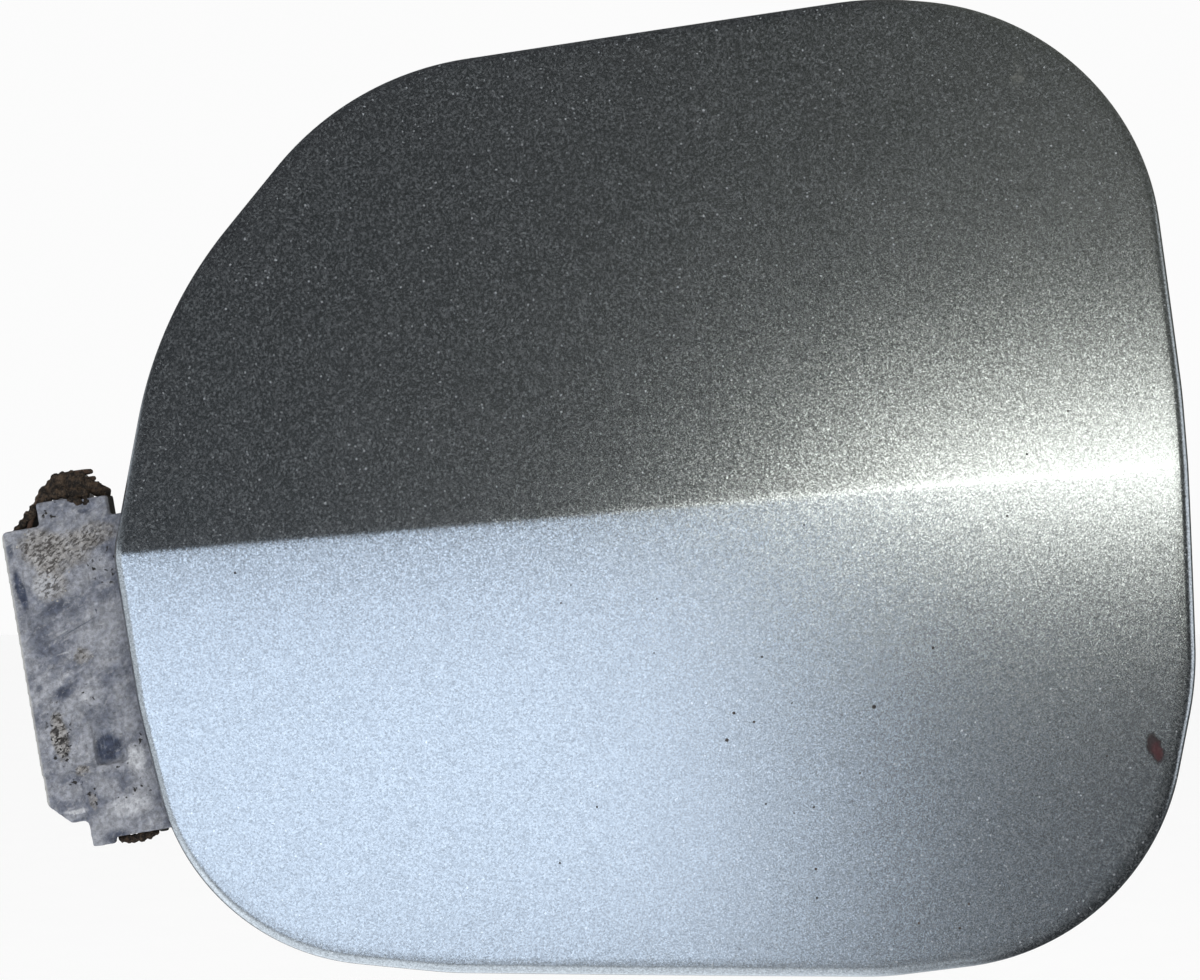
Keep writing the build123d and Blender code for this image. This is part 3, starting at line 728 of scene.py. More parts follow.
def tube(name, path, radius, place):
    """A round wire along a path in millimetres, set in place by a matrix."""
    path = np.asarray(path)
    along = np.gradient(path, axis=0)
    along /= np.linalg.norm(along, axis=1)[:, None]
    side = np.cross(along[0], (0.3, 0.5, 0.8))
    rings = []
    for point, direction in zip(path, along):
        side = side - direction * side.dot(direction)
        side /= np.linalg.norm(side)
        up = np.cross(direction, side)
        ring = []
        for a in np.linspace(0, 2 * math.pi, WIRE_SIDES, endpoint=False):
            ring.append(place @ Vector(point + radius * (math.cos(a) * side + math.sin(a) * up)))
        rings.append(ring)
    return ringed_mesh(name, np.array(rings), place @ Vector(path[0]), place @ Vector(path[-1]))


def bent(points):
    """Points along a wire with one rounded corner."""
    first, corner, last = (np.array(p) for p in points)
    into = corner - first
    out = last - corner
    start = corner - LEG_BEND * into / np.linalg.norm(into)
    end = corner + LEG_BEND * out / np.linalg.norm(out)
    share = np.linspace(0, 1, BEND_STEPS)[:, None]
    curve = (1 - share) ** 2 * start + 2 * share * (1 - share) * corner + share**2 * end
    before = np.linspace(first, start, BEND_STEPS)[:-1]
    after = np.linspace(end, last, BEND_STEPS)[1:]
    return np.vstack([before, curve, after])


def body_paint(colours):
    """Dark metallic paint with flake, painted glints, a faint scuff, hairlines and a chip down to primer.
    """
    f = Finish("body_paint")
    at = f.here(PANEL_AT)
    x, y, z = f.split(at)
    flake = f.cells(at, FLAKE)
    shine, _, _ = f.split(flake)
    # Painted glints: a few flake cells get a brighter base colour and less metal, so they light up as
    # sparkle under the fill
    _, painted_glint, _ = f.split(f.cells(at, PAINTED_GLINT_SCALE))
    _, _, spark = f.split(f.cells(at, SPARK))
    grain = f.noise(at, GRAIN, 2.0, 0.7)
    painted_glint = painted_glint.ramp(0.992, 0.999)
    base = f.shaded(colours.paint, 0.75 + 0.46 * shine + 0.8 * (grain - 0.5) + 0.6 * painted_glint)

    scuff = 0.0
    for px, py, half_x, half_z, share in SCUFFS:
        scuff = share * f.blob(x, z, on_panel(px, py), (half_x, half_z)) + scuff
    scuff = scuff * f.noise(at, 0.55, 4.0, 0.7).ramp(0.42, 0.72)
    base = f.mix(0.16 * scuff, base, colours.scuff)
    lean = f.stretched(at, HAIRLINE_LEAN, HAIRLINE_STRETCH)
    hair = f.noise(lean, 1.6, 2.0, 0.6).ramp(0.70, 0.76) * f.noise(at, 0.03, 2.0).ramp(0.5, 0.7)
    base = f.mix(0.22 * hair, base, colours.hairline)

    chip_x, chip_z = on_panel(*CHIP_PIXEL)
    warp = 1.4 * (f.noise(at, 0.9, 4.0, 0.7) - 0.5)
    aside = (x - chip_x) * math.cos(CHIP_LEAN) + (z - chip_z) * math.sin(CHIP_LEAN) + warp
    down = (z - chip_z) * math.cos(CHIP_LEAN) - (x - chip_x) * math.sin(CHIP_LEAN) + warp
    depth = float(panel_depth(chip_x, chip_z))
    front = y.ramp(depth + CHIP_REACH[0], depth + CHIP_REACH[1])
    chip = front * f.blob(aside, down, (0.0, 0.0), CHIP_HALF)
    core = front * f.blob(aside, down, PRIMER_MIDDLE, PRIMER_HALF)
    base = f.mix(0.92 * chip.ramp(0.0, 0.7), base, colours.chip)
    base = f.mix(0.85 * core, base, colours.primer)

    swing = f.vector("MULTIPLY", f.vector("SUBTRACT", flake, CELL_MIDDLE), FLAKE_TIP)
    fine = f.vector("SUBTRACT", f.cells(at, FINE_FLAKE), CELL_MIDDLE)
    swing = f.vector("ADD", swing, f.vector("MULTIPLY", fine, FINE_TIP))
    facing = f.add("ShaderNodeNewGeometry", output="Normal")
    normal = f.vector("NORMALIZE", f.vector("ADD", facing, swing))
    film = f.noise(at, 0.05, 3.0)
    return f.set(
        Base_Color=base,
        # Spark cells lose some metal as a fainter painted sparkle under the fill, and glint cells lose more
        Metallic=0.99 - 0.19 * spark ** 3 - 0.35 * painted_glint - 0.3 * core,
        Roughness=0.225 + 0.04 * (film - 0.5) + 0.15 * scuff + 0.3 * chip.ramp(0.4, 1.0),
        Normal=normal,
        Coat_Weight=0.1,
        Coat_Roughness=0.2,
    )


def tar(colours):
    """Specks of tar and road dirt."""
    f = Finish("tar")
    at = f.here()
    spread = f.noise(at, 2.0)
    base = f.mix(spread.ramp(0.4, 0.7), colours.tar, colours.brown_tar)
    return f.set(Base_Color=base, Roughness=0.55 + 0.2 * spread)


def muddy_plastic(colours):
    """Black plastic under dried mud: a grey film, worn and pale patches, a grainy crust and pits, with
    painted shade and highlight on the mud's relief and a painted highlight along the left edge.
    """
    f = Finish("arm_plastic")
    at = f.here(HINGE_AT, HINGE_TURN)
    x, y, z = f.split(at)
    slant = f.stretched(at, FILM_LEAN, FILM_STRETCH)
    broad = f.noise(slant, 0.16, 5.0, 0.6)
    streak = f.noise(slant, 0.7, 5.0, 0.7)
    fine = f.noise(at, 1.5, 5.0, 0.75)
    warp = 2.2 * (f.noise(at, 0.45, 4.0, 0.65) - 0.5)
    small_warp = 0.5 * (fine - 0.5)

    film = (broad + 0.25 * (streak - 0.5)).ramp(0.32, 0.62)
    base = f.mix(film, colours.smear, colours.mud)
    pale = f.patches(x + 0.6 * warp, z - 0.6 * warp, PALE) * (0.4 + 1.1 * fine)
    base = f.mix(pale, base, colours.pale_mud)
    worn = f.patches(x + 0.3 * warp + small_warp, z + 0.3 * warp, WORN) * (0.6 + 1.1 * fine)
    base = f.mix(worn, base, colours.slate)
    upright = f.stretched(at, 0.0, RUB_STRETCH)
    rub = f.blob(x, z, RUB_MIDDLE, RUB_HALF) * f.noise(upright, 1.3, 2.0).ramp(0.5, 0.66)
    base = f.mix(0.4 * rub, base, colours.rub)
    base = f.mix(0.45 * (0.5 * streak + 0.5 * fine).ramp(0.50, 0.68), base, colours.pale_streak)
    base = f.mix(0.4 * (0.4 * streak + 0.6 * fine).ramp(0.46, 0.32), base, colours.dark_streak)

    crust = f.patches(x + warp, z - warp, [(*place, 0, 0.5 + height) for *place, height in CRUSTS])
    crust = (crust * (0.25 + 1.3 * fine)).ramp(0.12, 0.85)
    # The mottle is also the bump's height, so it darkens the hollows as painted shade and pales the high
    # places as painted highlight, over the mud's own random tone
    mottle_and_relief_shade = f.noise(at, 1.0, 6.0, 0.75).ramp(0.32, 0.68)
    base = f.shaded(base, 0.68 + 0.76 * mottle_and_relief_shade)
    grains = f.vector("ADD", at, f.add("ShaderNodeCombineXYZ", {}, {"X": small_warp, "Z": warp * 0.2}))
    dashed = f.stretched(grains, DASH_LEAN, DASH_STRETCH)
    dash = f.noise(dashed, 2.1, 4.0, 0.65).ramp(0.49, 0.58)
    stroke = f.noise(dashed, 1.1, 4.0, 0.7).ramp(0.56, 0.66)
    base = f.mix(0.35 * stroke, base, colours.stroke)
    brown = f.mix(mottle_and_relief_shade, colours.dark_crust_and_shade, colours.pale_crust_and_highlight)
    brown = f.mix(0.9 * pale, brown, colours.pale_mud)
    base = f.mix(0.72 * crust, base, brown)
    base = f.mix(0.85 * crust * dash, base, colours.crack)

    pitted = f.patches(x + warp, z + warp, [(*place, 0, 1.0) for place in PITTED])
    pits = f.noise(grains, 1.25, 2.0, 0.5).ramp(0.60, 0.66) * (0.25 + pitted.ramp(0.0, 0.5))
    holes = f.blob(x + warp, z + warp, HOLES_MIDDLE, HOLES_HALF)
    dark = pits + holes * f.noise(at, 0.8, 3.0).ramp(0.50, 0.58)
    base = f.mix(0.9 * dark, base, colours.pit)

    # A pale band along the arm's left edge: dust and a painted rim highlight
    base = f.mix(0.75 * x.ramp(*ARM_EDGE), base, colours.edge_dust_and_highlight)
    dusty = f.mix(broad.ramp(0.35, 0.7), colours.grime, colours.pale_grime)
    base = f.mix(y.ramp(*ARM_BACK), base, dusty)
    height = 0.5 * fine + 0.5 * mottle_and_relief_shade - 0.8 * crust * dash - 0.8 * dark
    return f.set(
        Base_Color=base,
        Roughness=0.7 + 0.2 * crust,
        Normal=f.bump(height, 0.8, 0.35 * MM),
        Specular_IOR_Level=0.3,
    )


def packed_dirt(colours):
    """Near-black dirt and rust dust that the hinge has gathered, also serving as painted shade round the
    coil and in the lug's hollow.
    """
    f = Finish("packed_dirt")
    at = f.here()
    lump = f.noise(at, 1.1, 5.0, 0.65)
    grit = f.noise(at, 4.0, 3.0, 0.7)
    base = f.mix(lump.ramp(0.4, 0.66), colours.dirt, colours.brown_dirt)
    base = f.mix(0.6 * grit.ramp(0.56, 0.7), base, colours.grit)
    normal = f.bump(grit + lump, 0.7, 0.3 * MM)
    return f.set(Base_Color=base, Roughness=0.95, Normal=normal, Specular_IOR_Level=0.15)


def dry_mud(colours):
    """Loose grains and clods of dried mud, darker in the hollows of their bump as painted shade."""
    f = Finish("dry_mud")
    at = f.here()
    lump = f.noise(at, 1.3, 4.0)
    shade, _, _ = f.split(f.cells(at, 0.9))
    # Darker where the bump is low: painted shade in the hollows, over the crumbs' own tone
    base = f.mix(lump.ramp(0.35, 0.65), colours.dark_crumb_and_shade, colours.crumb)
    base = f.mix(shade * 0.8, base, colours.pale_crumb)
    normal = f.bump(lump, 0.5, 0.2 * MM)
    return f.set(Base_Color=base, Roughness=0.92, Normal=normal, Specular_IOR_Level=0.2)


def moulded_plastic(name, colours, dust_share):
    """Black moulded plastic with a fine grain and some dust on it."""
    f = Finish(name)
    at = f.here()
    grain = f.cells(at, 1.6, "Distance")
    broad = f.noise(at, 0.045, 5.0, 0.6)
    fine = f.noise(at, 0.9, 3.0)
    dusty = (broad + 0.3 * (fine - 0.5)).ramp(0.42, 0.72) * dust_share
    base = f.mix(dusty, colours.plastic, colours.dust)
    return f.set(
        Base_Color=base,
        Roughness=0.48 + 0.35 * dusty + 0.1 * fine,
        Normal=f.bump(grain, 0.18, 0.12 * MM),
    )


def rusty_steel(name, colours, rust_share):
    """Old steel, brown with rust."""
    f = Finish(name)
    at = f.here()
    broad = f.noise(at, 0.5, 5.0, 0.65)
    pits = f.noise(at, 3.2, 4.0, 0.7)
    rusted = (broad + 0.5 * (pits - 0.5)).ramp(0.62 - 0.4 * rust_share, 0.75 - 0.4 * rust_share)
    rust = f.mix(pits.ramp(0.35, 0.65), colours.rust, colours.dark_rust)
    base = f.mix(rusted, colours.old_steel, rust)
    return f.set(
        Base_Color=base,
        Metallic=0.85 - 0.85 * rusted,
        Roughness=0.45 + 0.45 * rusted,
        Normal=f.bump(pits, 0.5, 0.15 * MM),
    )


def zinc_plate(name, colours):
    """Zinc plated steel, dulled, with a little brown in its corners."""
    f = Finish(name)
    at = f.here()
    shade, _, _ = f.split(f.cells(at, 0.7))
    stain = f.noise(at, 0.18, 5.0, 0.65)
    base = f.mix(0.35 * shade, colours.zinc, colours.dull_zinc)
    base = f.mix(stain.ramp(0.56, 0.76) * 0.7, base, colours.zinc_stain)
    return f.set(Base_Color=base, Metallic=0.9, Roughness=0.36 + 0.3 * stain)


def stop_rubber(colours):
    """Black rubber with a bloom of dust."""
    f = Finish("stop_rubber")
    at = f.here()
    bloom = f.noise(at, 0.35, 4.0)
    fine = f.noise(at, 3.0, 2.0)
    base = f.mix(bloom.ramp(0.45, 0.75) * 0.5, colours.rubber, colours.bloom)
    return f.set(Base_Color=base, Roughness=0.72 + 0.15 * bloom, Normal=f.bump(fine, 0.2, 0.1 * MM))


def seen_at(px, py, plane):
    """Where a pixel falls on a plane at a depth behind the crease, in the panel's frame, in millimetres."""
    reach = bpy.context.scene.fuel_door_stage.camera_distance / MM
    scale = PIXEL * (reach + plane - VIEW_PLANE) / reach
    x = VIEW_FROM[0] + (px - FRAME_MIDDLE[0]) * scale
    z = VIEW_FROM[1] - (py - FRAME_MIDDLE[1]) * scale
    return x, z


def panel_depth(x, z):
    """The panel's outer surface, with the softness that its settings give."""
    shape = bpy.context.scene.fuel_door_panel
    return surface_depth(x, z, shape.crease_soft / MM, shape.bend_soft / MM, shape.bend_share)


def on_panel(px, py):
    """Where a pixel falls on the panel, in its frame, in millimetres."""
    x, z = seen_at(px, py, VIEW_PLANE)
    return seen_at(px, py, float(panel_depth(x, z)))


def scattered(piece, group, lump, **values):
    """Sets copies of a lump on a piece by a Geometry Nodes group, and makes the piece plain."""
    modifier = piece.modifiers.new(group.name, "NODES")
    modifier.node_group = group
    values.update(Lump=lump, Material=piece.data.materials[0])
    for item in group.interface.items_tree:
        if item.in_out == "INPUT" and item.name in values:
            modifier[item.identifier] = values[item.name]
    made_plain(piece)
    bpy.data.objects.remove(lump)


def point_mesh(name, places, sizes, facings):
    """Points that each hold a size and the way they face."""
    mesh = bpy.data.meshes.new(name)
    mesh.from_pydata(places, [], [])
    size = mesh.attributes.new("size", "FLOAT", "POINT")
    size.data.foreach_set("value", sizes)
    facing = mesh.attributes.new("facing", "FLOAT_VECTOR", "POINT")
    facing.data.foreach_set("vector", [part for way in facings for part in way])
    return mesh


def new_group(name, inputs):
    """A Geometry Nodes group with a mesh in, a mesh out and named inputs."""
    group = bpy.data.node_groups.new(name, "GeometryNodeTree")
    group.interface.new_socket("Geometry", in_out="INPUT", socket_type="NodeSocketGeometry")
    for label, kind in inputs:
        group.interface.new_socket(label, in_out="INPUT", socket_type=kind)
    group.interface.new_socket("Geometry", in_out="OUTPUT", socket_type="NodeSocketGeometry")
    g = Tree(group)
    entry = group.nodes.new("NodeGroupInput")
    wires = {socket.name: Wire(g, socket) for socket in entry.outputs if socket.name}
    return group, g, wires


def end_group(group, g, geometry, material):
    """Ends a group in plain faces with one material."""
    real = g.add("GeometryNodeRealizeInstances", {}, {"Geometry": geometry})
    worn = g.add("GeometryNodeSetMaterial", {}, {"Geometry": real, "Material": material})
    leave = group.nodes.new("NodeGroupOutput")
    group.links.new(worn.socket, leave.inputs[0])
    return group


def grain_shape(name, seed, flat=1.0):
    """A small uneven lump, one unit across, for scattering."""
    work = bmesh.new()
    bmesh.ops.create_icosphere(work, subdivisions=2, radius=0.5)
    for vert in work.verts:
        push = noise.noise(vert.co * 2.6 + Vector((seed, 0, 0)))
        vert.co *= 1 + 0.45 * push
        vert.co.z *= flat
    mesh = bpy.data.meshes.new(name)
    work.to_mesh(mesh)
    work.free()
    mesh.shade_smooth()
    return bpy.data.objects.new(name, mesh)


def dot_group():
    """Sets a lump at every point of a mesh, by the point's own size, normal and turn."""
    name = "Dots at points"
    if name in bpy.data.node_groups:
        return bpy.data.node_groups[name]
    inputs = [("Lump", "NodeSocketObject"), ("Material", "NodeSocketMaterial"), ("Seed", "NodeSocketInt")]
    group, g, wires = new_group(name, inputs)
    lump = g.add("GeometryNodeObjectInfo", {}, {"Object": wires["Lump"]}, "Geometry")
    size = g.add("GeometryNodeInputNamedAttribute", {"data_type": "FLOAT"}, {"Name": "size"})
    facing = g.add("GeometryNodeInputNamedAttribute", {"data_type": "FLOAT_VECTOR"}, {"Name": "facing"})
    turn = g.add("FunctionNodeAlignRotationToVector", {"axis": "Z"}, {"Vector": facing})
    sockets = {2: 0.0, 3: 2 * math.pi, "Seed": wires["Seed"]}
    spin = g.add("FunctionNodeRandomValue", {"data_type": "FLOAT"}, sockets, 1)
    spin = g.add("ShaderNodeCombineXYZ", {}, {"Z": spin})
    sockets = {"Rotation": turn, "Rotate By": spin}
    turn = g.add("FunctionNodeRotateRotation", {"rotation_space": "LOCAL"}, sockets)
    points = g.add("GeometryNodeMeshToPoints", {}, {"Mesh": wires["Geometry"]})
    sockets = {"Points": points, "Instance": lump, "Rotation": turn, "Scale": size}
    set_out = g.add("GeometryNodeInstanceOnPoints", {}, sockets)
    return end_group(group, g, set_out, wires["Material"])


def crumb_group():
    """Scatters lumps over a surface where its crust attribute is high."""
    inputs = [
        ("Lump", "NodeSocketObject"),
        ("Material", "NodeSocketMaterial"),
        ("Density", "NodeSocketFloat"),
        ("Smallest", "NodeSocketFloat"),
        ("Largest", "NodeSocketFloat"),
        ("Seed", "NodeSocketInt"),
    ]
    group, g, wires = new_group("Crumbs on crust", inputs)
    lump = g.add("GeometryNodeObjectInfo", {}, {"Object": wires["Lump"]}, "Geometry")
    crust = g.add("GeometryNodeInputNamedAttribute", {"data_type": "FLOAT"}, {"Name": "crust"})
    density = g.math("MULTIPLY", crust, wires["Density"])
    sockets = {"Mesh": wires["Geometry"], "Density": density, "Seed": wires["Seed"]}
    points = g.add("GeometryNodeDistributePointsOnFaces", {"distribute_method": "RANDOM"}, sockets)
    share = g.add("FunctionNodeRandomValue", {"data_type": "FLOAT"}, {"Seed": wires["Seed"]}, 1)
    size = wires["Smallest"] + (wires["Largest"] - wires["Smallest"]) * share ** 2.5
    sockets = {0: (0.0, 0.0, 0.0), 1: TURN_LIMIT, "Seed": wires["Seed"]}
    turn = g.add("FunctionNodeRandomValue", {"data_type": "FLOAT_VECTOR"}, sockets)
    sockets = {"Points": points, "Instance": lump, "Rotation": turn, "Scale": size}
    set_out = g.add("GeometryNodeInstanceOnPoints", {}, sockets)
    return end_group(group, g, set_out, wires["Material"])


class FUELDOOR_OT_panel(bpy.types.Operator):
    """Make the painted panel with its crease and rolled edge"""

    bl_idname = "fuel_door.panel"
    bl_label = "Painted panel"

    def execute(self, context):
        shape = context.scene.fuel_door_panel
        roll, hem, skin, lip = (v / MM for v in (shape.hem_radius, shape.hem_depth, shape.skin, shape.lip))
        points, inwards = rounded_outline()
        points = points + inwards * EDGE_INSET
        base = points + inwards * roll
        along, across = crease_frame(base[:, 0], base[:, 1])
        angle = np.arctan2(across, along) % (2 * math.pi)
        order = np.argsort(angle)
        share = np.arange(RAYS // 2) / (RAYS // 2)
        half = math.pi * (share - RAY_CROWDING * np.sin(2 * math.pi * share) / (2 * math.pi))
        rays = np.concatenate([half, half + math.pi])

        def spread(values):
            return np.interp(rays, angle[order], values[order], period=2 * math.pi)

        edge = np.stack([spread(points[:, 0]), spread(points[:, 1])], axis=1)
        inward = np.stack([spread(inwards[:, 0]), spread(inwards[:, 1])], axis=1)
        inward /= np.linalg.norm(inward, axis=1)[:, None]
        middle = np.array((0.0, CREASE_Z))

        def ring(inset, depth, share=1.0):
            flat = middle + (edge + inward * inset - middle) * share
            y = panel_depth(flat[:, 0], flat[:, 1]) + depth
            return np.stack([flat[:, 0], y, flat[:, 1]], axis=1)

        front = [ring(roll, 0, s) for s in np.linspace(INNER_RING, 1, FRONT_RINGS)]
        turns = np.linspace(0, math.pi / 2, ROLL_STEPS)[1:]
        front_roll = [ring(roll * (1 - math.sin(a)), roll * (1 - math.cos(a))) for a in turns]
        back_roll = [ring(roll * (1 - math.cos(a)), hem - roll * (1 - math.sin(a))) for a in turns]
        ease = skin / 4
        lip_rings = [
            ring((roll + lip) / 2, hem),
            ring(lip - ease, hem),
            ring(lip, hem - ease),
            ring(lip, hem - skin + ease),
            ring(lip - ease, hem - skin),
            ring(roll, hem - skin),
            ring(skin, hem - roll),
            ring(skin, roll),
        ]
        back = [ring(roll, skin, s) for s in np.linspace(1, INNER_RING, BACK_RINGS)]
        rings = np.array(front + front_roll + back_roll + lip_rings + back) * MM + np.array(PANEL_AT)
        top = float(panel_depth(0.0, CREASE_Z))
        start = PANEL_AT + Vector((0, top, CREASE_Z)) * MM
        end = PANEL_AT + Vector((0, top + skin, CREASE_Z)) * MM
        mesh = ringed_mesh("painted_panel", rings, start, end)
        piece = new_piece("painted_panel", mesh, body_paint(context.scene.fuel_door_finish))
        settle(piece, "door", "body_paint", "outer_panel")
        return {"FINISHED"}


class FUELDOOR_OT_specks(bpy.types.Operator):
    """Set the specks of tar on the panel"""

    bl_idname = "fuel_door.specks"
    bl_label = "Tar specks"

    def execute(self, context):
        places = []
        facings = []
        for px, py, _ in SPECKS:
            x, z = on_panel(px, py)
            depth = float(panel_depth(x, z))
            slope_x = (float(panel_depth(x + SLOPE_STEP, z)) - depth) / SLOPE_STEP
            slope_z = (float(panel_depth(x, z + SLOPE_STEP)) - depth) / SLOPE_STEP
            facings.append(Vector((slope_x, -1, slope_z)).normalized())
            places.append(PANEL_AT + Vector((x, depth, z)) * MM)
        sizes = [width * MM for _, _, width in SPECKS]
        mesh = point_mesh("tar_specks", places, sizes, facings)
        piece = new_piece("tar_specks", mesh, tar(context.scene.fuel_door_finish))
        scattered(piece, dot_group(), grain_shape("tar_lump", seed=3.1, flat=0.22), Seed=4)
        settle(piece, "door", "body_paint")
        return {"FINISHED"}


class FUELDOOR_OT_arm(bpy.types.Operator):
    """Make the hinge arm under its dried mud"""

    bl_idname = "fuel_door.arm"
    bl_label = "Hinge arm"

    def execute(self, context):
        material = muddy_plastic(context.scene.fuel_door_finish)
        piece = new_piece("muddy_arm", solid_copy("hinge_arm"), material)
        remeshed(piece, ARM_VOXEL)
        ease = piece.modifiers.new("Eased edges", "SMOOTH")
        ease.factor = 0.5
        ease.iterations = 3
        made_plain(piece)
        mesh = piece.data
        back = HINGE.inverted()
        crusts = []
        for vert in mesh.vertices:
            x, y, z = back @ vert.co
            front = -vert.normal.y
            crust = 0.0
            if y < ARM_FACE + CRUST_DEPTH and front > CRUST_FACING and x < CRUST_RIGHT + CRUST_FADE:
                fade = min(1.0, (CRUST_RIGHT + CRUST_FADE - x) / CRUST_FADE)
                rough = noise.fractal(Vector((x, y, z)) * 0.9, 0.8, 2.1, 5)
                lift = FILM_HEIGHT * noise.fractal(Vector((x, y, z)) * 0.35, 0.9, 2.0, 4)
                for middle_x, middle_z, half_x, half_z, height in CRUSTS:
                    reach = math.hypot((x - middle_x) / half_x, (z - middle_z) / half_z)
                    part = min(1.0, CRUST_GAIN * max(0.0, 1 - reach + CRUST_RAGGED * rough))
                    crust = max(crust, part)
                    lift = max(lift, height * part * (0.5 + 0.7 * rough))
                crust *= fade
                vert.co.y -= fade * lift * MM
            crusts.append(crust)
        layer = mesh.attributes.new("crust", "FLOAT", "POINT")
        layer.data.foreach_set("value", crusts)
        mesh.shade_smooth()
        settle(piece, "door", "arm_plastic", "hinge_arm")
        return {"FINISHED"}


class FUELDOOR_OT_mud(bpy.types.Operator):
    """Scatter crumbs of mud over the arm's crust"""

    bl_idname = "fuel_door.mud"
    bl_label = "Mud crumbs"

    def execute(self, context):
        arm = bpy.data.objects["muddy_arm"]
        piece = new_piece("mud_crumbs", arm.data.copy(), dry_mud(context.scene.fuel_door_finish))
        scattered(piece, crumb_group(), grain_shape("mud_lump", seed=7.7), **CRUMBS)
        piece.data.shade_smooth()
        settle(piece, "door", "arm_plastic")
        return {"FINISHED"}


class FUELDOOR_OT_spring(bpy.types.Operator):
    """Make the closing spring"""

    bl_idname = "fuel_door.spring"
    bl_label = "Closing spring"

    def execute(self, context):
        turns = np.linspace(0, COIL_TURNS, int(COIL_TURNS * COIL_STEPS) + 1)
        angle = 2 * math.pi * turns - math.pi / 2
        heights = COIL_START + COIL_PITCH * turns
        coil = np.stack([COIL_R * np.cos(angle), COIL_R * np.sin(angle), heights], axis=1)
        path = np.vstack([bent(ARM_LEG)[:-1], coil, bent(EAR_LEG)[1:]])
        mesh = tube("rusty_spring", path, WIRE_R, HINGE)
        steel = rusty_steel("spring_steel", context.scene.fuel_door_finish, 0.95)
        piece = new_piece("rusty_spring", mesh, steel)
        settle(piece, None, "spring_steel", "closing_spring")
        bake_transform(piece)
        return {"FINISHED"}


class FUELDOOR_OT_dirt_and_shade(bpy.types.Operator):
    """Pack near-black dirt round the coil and into the lower lug, also as painted shade there"""

    bl_idname = "fuel_door.dirt"
    bl_label = "Packed dirt"

    def execute(self, context):
        work = bmesh.new()
        for x, y, z, radius in DIRT_AND_SHADE:
            place = HINGE @ Matrix.Translation((x, y, z))
            bmesh.ops.create_icosphere(work, subdivisions=3, radius=radius, matrix=place)
        mesh = bpy.data.meshes.new("packed_dirt")
        work.to_mesh(mesh)
        work.free()
        piece = new_piece("packed_dirt", mesh, packed_dirt(context.scene.fuel_door_finish))
        remeshed(piece, DIRT_VOXEL)
        made_plain(piece)
        for vert in piece.data.vertices:
            at = vert.co / MM
            push = 0.26 * noise.fractal(at * 0.8, 0.8, 2.1, 5) + 0.10 * noise.noise(at * 3.1)
            vert.co += vert.normal * push * MM
        piece.data.shade_smooth()
        settle(piece, "door", "arm_plastic")
        return {"FINISHED"}


class FUELDOOR_OT_pin(bpy.types.Operator):
    """Make the hinge pin and finish its clip"""

    bl_idname = "fuel_door.pin"
    bl_label = "Hinge pin and clip"

    def execute(self, context):
        colours = context.scene.fuel_door_finish
        steel = rusty_steel("pin_steel", colours, 0.7)
        back = HINGE.inverted()
        heights = [(back @ v.co).z for v in frame["nodes"]["hinge_pin"].data.vertices]
        low, high = min(heights), max(heights)
        seat = high - PIN_HEAD
        profile = [
            (0, low), (PIN_R - 0.5, low), (PIN_R - 0.15, low + 0.2), (PIN_R, low + 0.6), (PIN_R, seat),
            (PIN_HEAD_R - 0.2, seat), (PIN_HEAD_R, seat + 0.15), (PIN_HEAD_R, high - 0.35),
            (PIN_HEAD_R - 0.3, high - 0.08), (PIN_HEAD_R - 0.9, high), (0, high),
        ]
        piece = new_piece("rusty_pin", lathed("rusty_pin", profile, HINGE), steel)
        piece.data.set_sharp_from_angle(angle=math.radians(50))
        settle(piece, "door", "pin_steel", "hinge_pin")
        clip = eased_copy("pin_clip", "push_clip", steel, CLIP_EASE)
        settle(clip, "door", "pin_steel", "pin_clip")
        return {"FINISHED"}


class FUELDOOR_OT_mouldings(bpy.types.Operator):
    """Ease the edges of the carrier and the bracket and give them their plastic"""

    bl_idname = "fuel_door.mouldings"
    bl_label = "Carrier and bracket"

    def execute(self, context):
        colours = context.scene.fuel_door_finish
        for node, name, body, slot, dust in MOULDINGS:
            piece = eased_copy(node, name, moulded_plastic(slot, colours, dust), MOULDING_EASE)
            settle(piece, body, slot, node)
        return {"FINISHED"}


